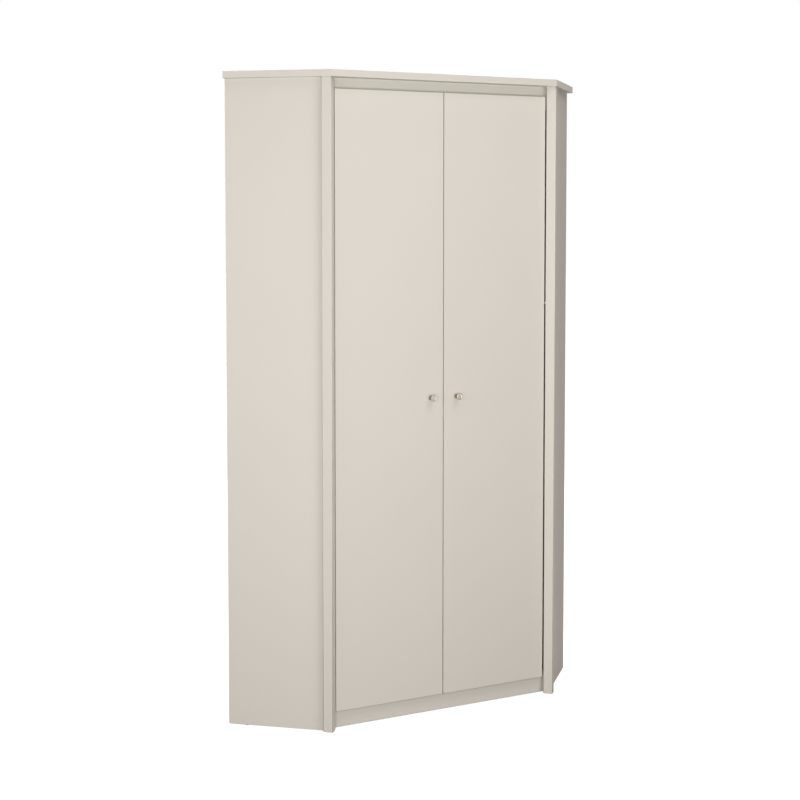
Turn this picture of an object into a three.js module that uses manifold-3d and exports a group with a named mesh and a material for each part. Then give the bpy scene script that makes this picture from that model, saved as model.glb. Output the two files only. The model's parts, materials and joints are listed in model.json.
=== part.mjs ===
// A corner wardrobe: a five-sided case for a room's corner, with two doors across its diagonal front.
// Millimetres, +Z up. The origin is on the floor under the middle of the plan, and the doors face -Y.

import * as THREE from "three";
import { mergeVertices } from "three/addons/utils/BufferGeometryUtils.js";
import Module from "manifold-3d";

const wasm = await Module();
wasm.setup();

// Overall size
const wallLength = 970; // each back edge of the top, along its wall
const shortSide = 360; // each short edge of the top, straight out from the wall
const overallHeight = 2105;

// Boards and posts
const boardThickness = 16;
const topThickness = 22;
const backThickness = 3;
const postWidth = 32; // square section
const topOverhang = 4; // top past the posts
const glideHeight = 3; // case off the floor
const jointGap = 0.3; // between pieces that are fixed together at an angle

// Doors
const plinthHeight = 61; // floor to the doors' lower edges
const friezeReveal = 35; // doors' upper edges to the top
const doorThickness = 16;
const doorSideGap = 3.2;
const doorMiddleGap = 3;
const doorSetback = 2; // door faces behind the posts' inner corners
const doorSwingGap = 0.5; // a turning door's edge to the rails behind it
const doorOpenAngle = 105; // degrees

// Rails, shelf and back
const friezeHeight = 80;
const shelfDrop = 340; // top's underside to the hat shelf's upper face
const shelfSetback = 12; // shelf's front edge behind the rails' faces
const rebateWidth = 8; // step in a side panel's back edge that takes the thin back
const pinEndInset = 60; // shelf pins from the ends of a side panel

// Clothes rail
const clothesRailLength = 900;
const clothesRailRadius = 12.5;
const clothesRailWall = 1.2;
const clothesRailDrop = 60; // shelf's underside to the rail's axis
const clothesRailSetback = 300; // rail's axis behind the frieze
const collarWall = 2.4;
const collarLength = 12;
const bracketThickness = 3;
const bracketFootLength = 34;
const bracketFootWidth = 44;
const bracketScrewSpacing = 30;

// Concealed hinges
const hingeCount = 4; // on each door
const hingeEndInset = 100; // first and last hinge from the door's ends
const cupRadius = 17.5;
const cupDepth = 12.6;
const cupWall = 0.8;
const cupEdgeInset = 3; // door's edge to the cup
const cupFit = 0.3; // cup to its hole
const flangeThickness = 1.2;
const flangeRadius = 19;
const flangeEarSpacing = 48; // between its two screws
const flangeEarRadius = 7;
const hingePinRadius = 1.25;
const hingePinFit = 0.1;
const hingePinInset = 8; // pin's axis from the door's edge
const hingePinDepth = 7; // pin's axis from the door's face
const eyeRadius = 2.3;
const armWidth = 10;
const armThickness = 2;
const hingeClearance = 0.9; // arm to the door, at its nearest
const plateSetback = 40; // post's front face to the plate
const plateLength = 34;
const plateHeight = 8.7;
const plateWingLength = 52;
const plateWingWidth = 16;
const plateWingThickness = 2;
const plateScrewSpacing = 32;

// Knobs
const knobInset = 48.5; // door's free edge to the knob's axis
const knobRadius = 11;
const knobBaseRadius = 8;
const knobNeckRadius = 6.5;
const knobLength = 24;
const knobRimLength = 7;
const knobRimRounding = 2;
const knobDish = 1;
const screwRadius = 2;
const screwFit = 0.3;
const screwGrip = 10; // length of screw in the knob
const screwHeadRadius = 4;
const screwHeadHeight = 2.2;

// Small fittings
const shelfPinRadius = 2.5;
const shelfPinGrip = 8; // length of pin in its hole
const shelfPinReach = 9; // length of pin under the shelf
const shelfPinFit = 0.3;
const shelfPinTabWidth = 8;
const shelfPinTabThickness = 2;
const bufferRadius = 4;
const bufferInset = 24; // from the middle of the frieze
const glideRadius = 7;
const wallBracketAlong = 485; // along the wall from the top's end
const wallBracketWidth = 20;
const wallBracketLeg = 40;
const wallBracketThickness = 2;

const cutOverrun = 1;
const mergeDistance = 1e-4;
const smallRadius = 5; // rounder than this, a piece has more sides
const smallSegments = 12;
const roundSegments = 24;
const knobSegments = 32;

// Materials
const board = new THREE.MeshStandardMaterial({ color: 0xdbd5cb, roughness: 0.5, metalness: 0 });
const thinBoard = new THREE.MeshStandardMaterial({ color: 0xd2ccc0, roughness: 0.7, metalness: 0 });
const satinNickel = new THREE.MeshStandardMaterial({ color: 0xb3ada3, roughness: 0.35, metalness: 1 });
const platedSteel = new THREE.MeshStandardMaterial({ color: 0xb9babb, roughness: 0.3, metalness: 1 });
const chrome = new THREE.MeshStandardMaterial({ color: 0xd0d2d4, roughness: 0.12, metalness: 1 });
const clearPlastic = new THREE.MeshStandardMaterial({ color: 0xe4e4e0, roughness: 0.4, metalness: 0 });
const glidePlastic = new THREE.MeshStandardMaterial({ color: 0xcfc9be, roughness: 0.6, metalness: 0 });

// Solids: a geometry as a solid to cut and join, and a solid as a geometry to draw
function solid(geometry) {
  const bare = geometry.clone();
  bare.deleteAttribute("normal");
  bare.deleteAttribute("uv");
  const merged = mergeVertices(bare, mergeDistance);
  const vertProperties = merged.attributes.position.array;
  const triVerts = new Uint32Array(merged.index.array);
  return new wasm.Manifold(new wasm.Mesh({ numProp: 3, vertProperties, triVerts }));
}

function surface(body) {
  const mesh = body.getMesh();
  const geometry = new THREE.BufferGeometry();
  geometry.setAttribute("position", new THREE.BufferAttribute(mesh.vertProperties, mesh.numProp));
  geometry.setIndex(new THREE.BufferAttribute(mesh.triVerts, 1));
  const flat = geometry.toNonIndexed();
  flat.computeVertexNormals();
  return flat;
}

function joined(first, ...others) {
  return others.reduce((body, other) => body.add(solid(other)), solid(first));
}

function cut(body, ...holes) {
  return holes.reduce((rest, hole) => rest.subtract(solid(hole)), body);
}

// Shapes: an upright prism over a plan outline, a box between two corners, and round pieces on the Y axis
function prism(outline, low, high) {
  const options = { depth: high - low, bevelEnabled: false };
  return new THREE.ExtrudeGeometry(new THREE.Shape(outline), options).translate(0, 0, low);
}

function block(low, high) {
  const [x, y, z] = high.map((value, axis) => value - low[axis]);
  const centre = high.map((value, axis) => (value + low[axis]) / 2);
  return new THREE.BoxGeometry(x, y, z).translate(...centre);
}

function turned(profile, segments = roundSegments) {
  const points = profile.map(([radius, along]) => new THREE.Vector2(radius, along));
  return new THREE.LatheGeometry(points, segments);
}

function rod(radius, from, to) {
  const segments = radius < smallRadius ? smallSegments : roundSegments;
  return turned([[0, from], [radius, from], [radius, to], [0, to]], segments);
}

function alongX(geometry) {
  return geometry.rotateZ(-Math.PI / 2);
}

function alongZ(geometry) {
  return geometry.rotateX(Math.PI / 2);
}

// A strip of even thickness along a path in plan, with mitred bends
function strip(path, thickness) {
  const sideOf = (sign) =>
    path.map((point, i) => {
      const before = path[Math.max(i - 1, 0)];
      const after = path[Math.min(i + 1, path.length - 1)];
      const inward = i ? point.clone().sub(before).normalize() : after.clone().sub(point).normalize();
      const outward = i < path.length - 1 ? after.clone().sub(point).normalize() : inward;
      const across = new THREE.Vector2(-inward.y - outward.y, inward.x + outward.x).normalize();
      const stretch = across.dot(new THREE.Vector2(-inward.y, inward.x));
      return point.clone().addScaledVector(across, (sign * thickness) / 2 / stretch);
    });
  return [...sideOf(1), ...sideOf(-1).reverse()];
}

function add(parent, name, geometry, material) {
  const mesh = new THREE.Mesh(geometry, material);
  mesh.name = name;
  parent.add(mesh);
}

// A whole outline from its left half. A point in the middle isn't repeated.
function mirrored(leftHalf) {
  const offMiddle = leftHalf.filter((point) => point.x < -mergeDistance);
  const right = offMiddle.map((point) => new THREE.Vector2(-point.x, point.y));
  return [...leftHalf, ...right.reverse()];
}

// Plan. "Out" is the distance from the left wall, and "along" the distance along it from the top's end.
const planDepth = (wallLength + shortSide) * Math.SQRT1_2;
const wallEnd = new THREE.Vector2(-wallLength, shortSide).multiplyScalar(Math.SQRT1_2);

function planPoint(out, along) {
  return new THREE.Vector2(out + along, along - out).multiplyScalar(Math.SQRT1_2).add(wallEnd);
}

const postFront = shortSide - topOverhang;
const postBack = postFront - postWidth;
const panelOuter = topOverhang + postWidth - boardThickness;
const panelInner = topOverhang + postWidth;
const backFace = backThickness + jointGap; // what stands in front of a thin back
const backPostFace = backFace + postWidth;
const postCorner = planPoint(postFront, panelInner);

// Heights
const topLow = overallHeight - topThickness;
const doorLow = plinthHeight;
const doorHigh = topLow - friezeReveal;
const shelfHigh = topLow - shelfDrop;
const shelfLow = shelfHigh - boardThickness;

// Doors and the rails behind them, from the middle of the front
const doorWidth = -postCorner.x - doorSideGap - doorMiddleGap / 2;
const doorBack = postCorner.y + doorSetback + doorThickness;
const hingeAxis = new THREE.Vector2(doorSideGap + hingePinInset, doorSetback + hingePinDepth).add(postCorner);
const leafBack = doorThickness - hingePinDepth; // door's back behind the hinge axis
const railFace = hingeAxis.y + Math.hypot(hingePinInset, leafBack) + doorSwingGap;
const hingeSpan = doorHigh - doorLow - 2 * hingeEndInset;
const hingeHeights = Array.from(
  { length: hingeCount },
  (_, i) => doorLow + hingeEndInset + (i * hingeSpan) / (hingeCount - 1),
);

// Half the width between the side panels, which spread at 45 degrees, at a distance back from the front
function halfWidth(y) {
  return y - postCorner.x - postCorner.y - jointGap * Math.SQRT2;
}

// A board that fills the case from a front edge to the thin backs, and is notched for the back post
function caseOutline(front) {
  const notch = wallLength - backPostFace - jointGap;
  return mirrored([
    new THREE.Vector2(-halfWidth(front), front),
    planPoint(backFace, panelInner + jointGap),
    planPoint(backFace, notch),
    planPoint(backPostFace + jointGap, notch),
  ]);
}

function railOutline() {
  const back = railFace + boardThickness;
  return mirrored([
    new THREE.Vector2(-halfWidth(railFace), railFace),
    new THREE.Vector2(-halfWidth(back), back),
  ]);
}

const wardrobe = new THREE.Group();
wardrobe.position.y = -planDepth / 2;

// Boards across the case
const topOutline = mirrored([planPoint(shortSide, 0), planPoint(0, 0), planPoint(0, wallLength)]);
add(wardrobe, "top_board", prism(topOutline, topLow, overallHeight), board);
const bottomHigh = plinthHeight + boardThickness;
add(wardrobe, "bottom_board", prism(caseOutline(railFace), plinthHeight, bottomHigh), board);
add(wardrobe, "hat_shelf", prism(caseOutline(railFace + shelfSetback), shelfLow, shelfHigh), board);
add(wardrobe, "frieze_rail", prism(railOutline(), topLow - friezeHeight, topLow), board);
add(wardrobe, "plinth_rail", prism(railOutline(), glideHeight, plinthHeight), board);

// The post in the room's corner
const backPostOutline = [
  planPoint(backFace, wallLength - backFace),
  planPoint(backFace, wallLength - backPostFace),
  planPoint(backPostFace, wallLength - backPostFace),
  planPoint(backPostFace, wallLength - backFace),
];
add(wardrobe, "back_corner_post", prism(backPostOutline, glideHeight, topLow), board);
const backPostMiddle = planPoint(backFace + postWidth / 2, wallLength - backFace - postWidth / 2);
const cornerGlide = alongZ(rod(glideRadius, 0, glideHeight)).translate(backPostMiddle.x, backPostMiddle.y, 0);
add(wardrobe, "glide_corner", cornerGlide, glidePlastic);

// Clothes rail
const clothesRailY = railFace + clothesRailSetback;
const clothesRailZ = shelfLow - clothesRailDrop;
const clothesRailBore = clothesRailRadius - clothesRailWall;
const clothesRail = turned([
  [clothesRailBore, -clothesRailLength / 2],
  [clothesRailRadius, -clothesRailLength / 2],
  [clothesRailRadius, clothesRailLength / 2],
  [clothesRailBore, clothesRailLength / 2],
  [clothesRailBore, -clothesRailLength / 2],
]);
add(wardrobe, "hanging_rail", alongX(clothesRail).translate(0, clothesRailY, clothesRailZ), chrome);

// One end bracket: a foot under the shelf, an upright and a collar round the rail, from the rail's end
function railBracket() {
  const collarRadius = clothesRailRadius + jointGap + collarWall;
  const outer = -jointGap - bracketThickness;
  const foot = block(
    [outer, -bracketFootWidth / 2, clothesRailDrop - bracketThickness],
    [outer + bracketFootLength, bracketFootWidth / 2, clothesRailDrop],
  );
  const upright = block([outer, -collarRadius, 0], [-jointGap, collarRadius, clothesRailDrop - jointGap]);
  const collar = alongX(rod(collarRadius, outer, collarLength));
  const bore = alongX(rod(clothesRailRadius + jointGap, -jointGap, collarLength + cutOverrun));
  const screws = [-1, 1].map((side) =>
    alongZ(rod(screwHeadRadius, 0, screwHeadHeight)).translate(
      outer + bracketFootLength / 2,
      (side * bracketScrewSpacing) / 2,
      clothesRailDrop - bracketThickness - screwHeadHeight,
    ),
  );
  return surface(cut(joined(foot, upright, collar, ...screws), bore));
}

// Side panel with a step in its back edge and blind holes for the shelf pins
const panelPinPlaces = [postBack - pinEndInset, pinEndInset];
const shelfPinZ = shelfLow - shelfPinRadius;

function sidePanel() {
  const outline = [
    [backFace, panelInner],
    [backFace, panelInner - rebateWidth],
    [0, panelInner - rebateWidth],
    [0, panelOuter],
    [postBack - jointGap, panelOuter],
    [postBack - jointGap, panelInner],
  ].map(([x, y]) => new THREE.Vector2(x, y));
  const holeDepth = shelfPinGrip + shelfPinFit;
  const holes = panelPinPlaces.map((out) =>
    rod(shelfPinRadius + shelfPinFit, -holeDepth, cutOverrun).translate(out, panelInner, shelfPinZ),
  );
  return surface(cut(solid(prism(outline, glideHeight, topLow)), ...holes));
}

// A shelf pin with a flat tab under the shelf. It lies along +Y, with its origin where it leaves its hole.
function shelfPin() {
  const shank = rod(shelfPinRadius, -shelfPinGrip, shelfPinReach);
  const tabLow = shelfPinRadius - shelfPinTabThickness;
  const tab = block(
    [-shelfPinTabWidth / 2, jointGap, tabLow],
    [shelfPinTabWidth / 2, shelfPinReach + jointGap, shelfPinRadius],
  );
  return surface(joined(shank, tab));
}

// A short pin that stands on the face of the back post, so it needs no hole
function postPin() {
  const tabLow = shelfPinRadius - shelfPinTabThickness;
  const pad = block(
    [-shelfPinTabWidth / 2, jointGap, -shelfPinTabWidth],
    [shelfPinTabWidth / 2, jointGap + shelfPinTabThickness, shelfPinRadius],
  );
  const tab = block(
    [-shelfPinTabWidth / 2, jointGap, tabLow],
    [shelfPinTabWidth / 2, shelfPinReach + jointGap, shelfPinRadius],
  );
  return surface(joined(pad, tab));
}

// Angle that ties the top to the wall, with its origin under the top at the thin back's face
function wallBracket() {
  const half = wallBracketWidth / 2;
  const flat = block([0, -half, -wallBracketThickness], [wallBracketLeg, half, 0]);
  const upright = block([0, -half, -wallBracketLeg], [wallBracketThickness, half, 0]);
  const topScrew = alongZ(rod(screwHeadRadius, 0, screwHeadHeight)).translate(
    wallBracketLeg / 2,
    0,
    -wallBracketThickness - screwHeadHeight,
  );
  const wallScrew = alongX(rod(screwHeadRadius, 0, screwHeadHeight)).translate(
    wallBracketThickness,
    0,
    -wallBracketLeg / 2 - screwHeadRadius,
  );
  return surface(joined(flat, upright, topScrew, wallScrew));
}

// Hinge cup in the door: a thin shell with a flange, two ears and the pin. Its origin is the pin's middle.
const cupX = cupEdgeInset + cupRadius - hingePinInset;
const flangeBack = leafBack + flangeThickness;

function hingeCup() {
  const floor = leafBack - cupDepth;
  const shell = turned([
    [0, floor],
    [cupRadius, floor],
    [cupRadius, leafBack],
    [flangeRadius - cupFit, leafBack],
    [flangeRadius - cupFit, flangeBack],
    [0, flangeBack],
  ]).translate(cupX, 0, 0);
  const ears = [-1, 1].flatMap((side) => {
    const z = (side * flangeEarSpacing) / 2;
    const tongue = block(
      [cupX - flangeEarRadius, leafBack, Math.min(0, z)],
      [cupX + flangeEarRadius, flangeBack, Math.max(0, z)],
    );
    const end = rod(flangeEarRadius, leafBack, flangeBack).translate(cupX, 0, z);
    const screw = rod(screwHeadRadius, leafBack, flangeBack + screwHeadHeight / 2).translate(cupX, 0, z);
    return [tongue, end, screw];
  });
  const hollow = rod(cupRadius - cupWall, floor + cupWall, flangeBack + cutOverrun).translate(cupX, 0, 0);
  const envelope = rod(cupRadius - cupWall / 2, floor, leafBack).translate(cupX, 0, 0);
  const pin = solid(alongZ(rod(hingePinRadius, -cupRadius, cupRadius))).intersect(solid(envelope));
  return surface(cut(joined(shell, ...ears), hollow).add(pin));
}

// Hinge arm, from its eye on the pin, out of the cup over the door's edge and back along the side panel.
// It clears the edge of the open door. The elbow's places are shares of the arm's height over the pin.
const elbowShares = [
  [1.17, 0.27],
  [0.93, 0.8],
  [0.67, 1],
];

function hingeArm() {
  const swing = Math.hypot(hingePinInset, flangeBack);
  const level = swing + armThickness / 2 + hingeClearance;
  const opening = THREE.MathUtils.degToRad(doorOpenAngle);
  const neck = (flangeBack + hingeClearance) / Math.sin(opening);
  const lift = plateHeight + jointGap + armThickness / 2; // over the side panel's face
  const faceToPin = new THREE.Vector2(-doorSideGap - hingePinInset, -doorSetback - hingePinDepth);
  const besidePanel = (back) =>
    new THREE.Vector2(lift - back, lift + back).multiplyScalar(Math.SQRT1_2).add(faceToPin);
  const bend = (level - faceToPin.y) * Math.SQRT2 - lift;
  const path = [
    new THREE.Vector2(0, 0),
    new THREE.Vector2(neck, armThickness / 2 - eyeRadius),
    ...elbowShares.map(([x, y]) => new THREE.Vector2(x * level, y * level)),
    besidePanel(bend),
    besidePanel(plateSetback + plateLength),
  ];
  const low = -armWidth / 2;
  const high = armWidth / 2;
  const blade = prism(strip(path, armThickness), low, high);
  const eye = alongZ(rod(eyeRadius, low, high));
  const bore = alongZ(rod(hingePinRadius + hingePinFit, low - cutOverrun, high + cutOverrun));
  const fixing = besidePanel(plateSetback + plateLength / 2);
  const screw = rod(screwHeadRadius, 0, armThickness / 2 + screwHeadHeight / 2)
    .rotateZ(-Math.PI / 4)
    .translate(fixing.x, fixing.y, 0);
  return surface(cut(joined(blade, eye, screw), bore));
}

// Mounting plate on the side panel: a ridge under the arm and two wings with their screws
function hingePlate() {
  const ridge = block(
    [-plateLength / 2, 0, -armWidth / 2],
    [plateLength / 2, plateHeight - jointGap, armWidth / 2],
  );
  const wings = block(
    [-plateWingWidth / 2, 0, -plateWingLength / 2],
    [plateWingWidth / 2, plateWingThickness, plateWingLength / 2],
  );
  const screwHigh = plateWingThickness + screwHeadHeight;
  const screws = [-1, 1].map((side) =>
    rod(screwHeadRadius, 0, screwHigh).translate(0, 0, (side * plateScrewSpacing) / 2),
  );
  return surface(joined(ridge, wings, ...screws));
}

// Turned knob, flared from its neck to a dished face, with a blind hole for its screw, standing out along -Y
function knob() {
  const rimBack = -knobLength + knobRimLength;
  return turned(
    [
      [0, knobDish - knobLength],
      [knobRadius - 2 * knobRimRounding, knobDish - knobLength],
      [knobRadius - knobRimRounding, -knobLength],
      [knobRadius - knobRimRounding * (1 - Math.SQRT1_2), -knobLength + knobRimRounding * (1 - Math.SQRT1_2)],
      [knobRadius, -knobLength + knobRimRounding],
      [knobRadius, rimBack - knobRimRounding],
      [knobRadius - knobRimRounding * (1 - Math.SQRT1_2), rimBack - knobRimRounding * (1 - Math.SQRT1_2)],
      [knobRadius - knobRimRounding, rimBack],
      [knobNeckRadius, rimBack / 2],
      [knobBaseRadius, -knobRimRounding],
      [knobBaseRadius, 0],
      [screwRadius + screwFit, 0],
      [screwRadius + screwFit, -screwGrip - screwFit],
      [0, -screwGrip - screwFit],
    ],
    knobSegments,
  );
}

function knobScrew() {
  return turned(
    [
      [0, -screwGrip],
      [screwRadius, -screwGrip],
      [screwRadius, doorThickness],
      [screwHeadRadius, doorThickness],
      [screwHeadRadius, doorThickness + screwHeadHeight],
      [0, doorThickness + screwHeadHeight],
    ],
    smallSegments,
  );
}

// Door leaf, with its origin on the hinge axis at the floor
function doorLeaf(knobX, knobZ) {
  const leaf = block(
    [-hingePinInset, -hingePinDepth, doorLow],
    [doorWidth - hingePinInset, leafBack, doorHigh],
  );
  const cups = hingeHeights.map((z) =>
    rod(cupRadius + cupFit, leafBack - cupDepth - cupFit, leafBack + cutOverrun).translate(cupX, 0, z),
  );
  const screwHole = rod(screwRadius + screwFit, -hingePinDepth - cutOverrun, leafBack + cutOverrun);
  return surface(cut(solid(leaf), ...cups, screwHole.translate(knobX, 0, knobZ)));
}

// The two halves of the case are alike, and the right one is a mirror image
for (const side of ["left", "right"]) {
  const half = new THREE.Group();
  half.scale.x = side === "left" ? 1 : -1;
  wardrobe.add(half);

  // What stands square to the walls: X runs out from the wall, and Y along it
  const wing = new THREE.Group();
  wing.position.set(wallEnd.x, wallEnd.y, 0);
  wing.rotation.z = -Math.PI / 4;
  half.add(wing);

  add(wing, `side_panel_${side}`, sidePanel(), board);
  const post = block([postBack, topOverhang, glideHeight], [postFront, topOverhang + postWidth, topLow]);
  add(wing, `front_post_${side}`, post, board);
  const backPanel = block(
    [0, panelInner - rebateWidth + jointGap, plinthHeight],
    [backThickness, wallLength - backFace, topLow],
  );
  add(wing, `back_panel_${side}`, backPanel, thinBoard);

  const glide = () => alongZ(rod(glideRadius, 0, glideHeight));
  const panelMiddle = (panelOuter + panelInner) / 2;
  const frontGlide = glide().translate(postFront - postWidth / 2, topOverhang + postWidth / 2, 0);
  add(wing, `glide_front_${side}`, frontGlide, glidePlastic);
  add(wing, `glide_rear_${side}`, glide().translate(pinEndInset, panelMiddle, 0), glidePlastic);

  panelPinPlaces.forEach((out, i) => {
    const place = ["front", "rear"][i];
    add(wing, `shelf_pin_${side}_${place}`, shelfPin().translate(out, panelInner, shelfPinZ), platedSteel);
  });
  const postFacePin = postPin()
    .rotateZ(Math.PI)
    .translate(backFace + postWidth / 2, wallLength - backPostFace, shelfPinZ);
  add(wing, `shelf_pin_${side}_corner`, postFacePin, platedSteel);
  const tie = wallBracket().translate(backFace, wallBracketAlong, topLow);
  add(wing, `wall_bracket_${side}`, tie, platedSteel);

  const bracket = railBracket().translate(-clothesRailLength / 2, clothesRailY, clothesRailZ);
  add(half, `rail_bracket_${side}`, bracket, platedSteel);
  const bufferZ = (doorHigh + topLow - friezeHeight) / 2;
  const buffer = rod(bufferRadius, doorBack + jointGap, railFace).translate(-bufferInset, 0, bufferZ);
  add(half, `door_buffer_${side}`, buffer, clearPlastic);

  // The door and what moves with it, from the hinge axis
  const leaf = new THREE.Group();
  leaf.position.set(hingeAxis.x, hingeAxis.y, 0);
  half.add(leaf);
  const knobX = doorWidth - hingePinInset - knobInset;
  const knobZ = (doorLow + doorHigh) / 2;
  add(leaf, `door_${side}`, doorLeaf(knobX, knobZ), board);
  add(leaf, `knob_${side}`, knob().translate(knobX, -hingePinDepth, knobZ), satinNickel);
  add(leaf, `knob_screw_${side}`, knobScrew().translate(knobX, -hingePinDepth, knobZ), platedSteel);

  const cup = hingeCup();
  const arm = hingeArm();
  const plate = hingePlate();
  const plateOut = postFront - plateSetback - plateLength / 2;
  hingeHeights.forEach((z, i) => {
    add(leaf, `hinge_cup_${side}_${i + 1}`, cup.clone().translate(0, 0, z), platedSteel);
    const armPlace = arm.clone().translate(hingeAxis.x, hingeAxis.y, z);
    add(half, `hinge_arm_${side}_${i + 1}`, armPlace, platedSteel);
    const platePlace = plate.clone().translate(plateOut, panelInner + jointGap, z);
    add(wing, `hinge_plate_${side}_${i + 1}`, platePlace, platedSteel);
  });
}

export default wardrobe;
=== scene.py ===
import json
import math

import bmesh
import bpy
from mathutils import Matrix, Vector


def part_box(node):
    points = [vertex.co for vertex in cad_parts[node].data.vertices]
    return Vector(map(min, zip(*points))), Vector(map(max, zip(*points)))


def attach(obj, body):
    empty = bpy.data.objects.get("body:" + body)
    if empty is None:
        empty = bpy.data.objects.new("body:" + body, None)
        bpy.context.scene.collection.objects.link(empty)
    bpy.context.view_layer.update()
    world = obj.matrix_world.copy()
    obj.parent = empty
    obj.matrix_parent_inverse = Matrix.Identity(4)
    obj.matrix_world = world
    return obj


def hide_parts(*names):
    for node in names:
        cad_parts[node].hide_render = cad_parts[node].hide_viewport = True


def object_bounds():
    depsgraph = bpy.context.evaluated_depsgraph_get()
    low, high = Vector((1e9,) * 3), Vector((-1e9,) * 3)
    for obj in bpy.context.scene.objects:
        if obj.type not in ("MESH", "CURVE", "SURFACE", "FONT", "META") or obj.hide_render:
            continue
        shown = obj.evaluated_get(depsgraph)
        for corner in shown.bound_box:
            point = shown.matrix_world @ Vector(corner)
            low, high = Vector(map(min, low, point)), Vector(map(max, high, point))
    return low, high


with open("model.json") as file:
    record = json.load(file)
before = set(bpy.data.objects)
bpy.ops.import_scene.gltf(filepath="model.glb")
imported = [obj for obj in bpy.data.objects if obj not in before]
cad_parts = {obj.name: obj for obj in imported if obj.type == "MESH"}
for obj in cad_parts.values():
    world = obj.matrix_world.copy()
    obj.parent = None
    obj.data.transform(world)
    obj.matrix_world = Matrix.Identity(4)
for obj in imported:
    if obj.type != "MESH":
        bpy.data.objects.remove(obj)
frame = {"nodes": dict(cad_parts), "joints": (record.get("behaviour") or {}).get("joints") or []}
cad_low, cad_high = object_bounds()

# The viewpoint is that of the photograph: left of the doors, at eye height, through a long lens.
# The lens is shifted a little, so that the case's upright edges stay nearly upright.
view_place = Vector((-3.0339, -5.2118, 1.6667))
view_bearing = math.radians(59.0)  # from +X towards +Y
view_pitch = math.radians(-3.9)
view_lens = 77.7
view_shift = -0.09

view_direction = Vector((
    math.cos(view_bearing) * math.cos(view_pitch),
    math.sin(view_bearing) * math.cos(view_pitch),
    math.sin(view_pitch),
))
view_camera = bpy.data.cameras.new("viewpoint")
view_camera.sensor_width = 36.0
view_camera.lens = view_lens
view_camera.shift_y = view_shift
camera = bpy.data.objects.new("viewpoint", view_camera)
bpy.context.scene.collection.objects.link(camera)
camera.location = view_place
camera.rotation_mode = "QUATERNION"
camera.rotation_quaternion = view_direction.to_track_quat("-Z", "Y")
bpy.context.scene.camera = camera
bpy.context.scene.view_settings.view_transform = "Standard"


# The studio is a wide pale floor under an even white room, with soft lamps in an arc before the doors and
# others over the case and behind it. The floor looks white and keeps the case's shadow, but sends little
# light back up, and that light is a little pink, so that the foot of the case lies in soft warm shade.
floor_radius = 40.0
floor_sides = 64
floor_seen = "#f3f2f0"
floor_bounce = "#5a5352"
floor_glow = 0.84  # near the case, where the lamps add the rest
floor_glow_reach = (1.8, 4.5)  # metres from the case, over which the glow rises to full white
room_light = 0.14
room_seen = "#ffffff"
room_tint = "#ffbcb9"
lamps = {  # degrees from straight before the doors, distance, height and size in metres, and watts
    "front_lamp": (-35.0, 4.4, 1.2, 2.0, 89.0),
    "high_lamp": (7.0, 2.0, 3.8, 2.0, 36.0),
    "left_lamp": (-80.0, 3.0, 1.6, 2.0, 23.0),
    "right_lamp": (5.0, 3.0, 0.95, 1.6, 29.0),
    "back_lamp": (180.0, 4.2, 3.2, 2.5, 140.0),
    "top_lamp": (180.0, 0.45, 4.8, 2.0, 42.0),
}


def linear(code):
    """An sRGB hex colour as linear red, green, blue and alpha."""
    shares = [int(code[i : i + 2], 16) / 255 for i in (1, 3, 5)]
    return [s / 12.92 if s <= 0.04045 else ((s + 0.055) / 1.055) ** 2.4 for s in shares] + [1.0]


def add_node(tree, kind, settings=None, sockets=None):
    """Adds a node, sets its own settings, and fills its sockets with values or with other nodes' outputs."""
    made = tree.nodes.new(kind)
    for name, value in (settings or {}).items():
        setattr(made, name, value)
    for key, value in (sockets or {}).items():
        if isinstance(value, bpy.types.NodeSocket):
            tree.links.new(value, made.inputs[key])
        else:
            made.inputs[key].default_value = value
    return made


def seen_directly(tree):
    """1 for rays from the camera and for those that metal or glass turns, and 0 for all light on its way."""
    path = add_node(tree, "ShaderNodeLightPath")
    either = add_node(tree, "ShaderNodeMath", {"operation": "MAXIMUM"}, {
        0: path.outputs["Is Camera Ray"],
        1: path.outputs["Is Glossy Ray"],
    })
    any_of = add_node(tree, "ShaderNodeMath", {"operation": "MAXIMUM"}, {
        0: either.outputs[0],
        1: path.outputs["Is Transmission Ray"],
    })
    return any_of.outputs[0]


def new_material(name):
    """A material with an empty tree, the tree, and its output node."""
    made = bpy.data.materials.new(name)
    made.use_nodes = True
    made.node_tree.nodes.clear()
    return made, made.node_tree, made.node_tree.nodes.new("ShaderNodeOutputMaterial")


room = bpy.data.worlds.new("white_room")
room.use_nodes = True
room.node_tree.nodes.clear()
room_tree = room.node_tree
room_strength = add_node(room_tree, "ShaderNodeMapRange", None, {
    "Value": seen_directly(room_tree), "To Min": room_light, "To Max": 1.0,
})
room_colour = add_node(room_tree, "ShaderNodeMix", {"data_type": "RGBA"}, {
    0: seen_directly(room_tree), 6: linear(room_tint), 7: linear(room_seen),
})
room_shader = add_node(room_tree, "ShaderNodeBackground", None, {
    "Color": room_colour.outputs[2], "Strength": room_strength.outputs[0],
})
room_output = room_tree.nodes.new("ShaderNodeOutputWorld")
room_tree.links.new(room_shader.outputs[0], room_output.inputs["Surface"])
bpy.context.scene.world = room

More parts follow.
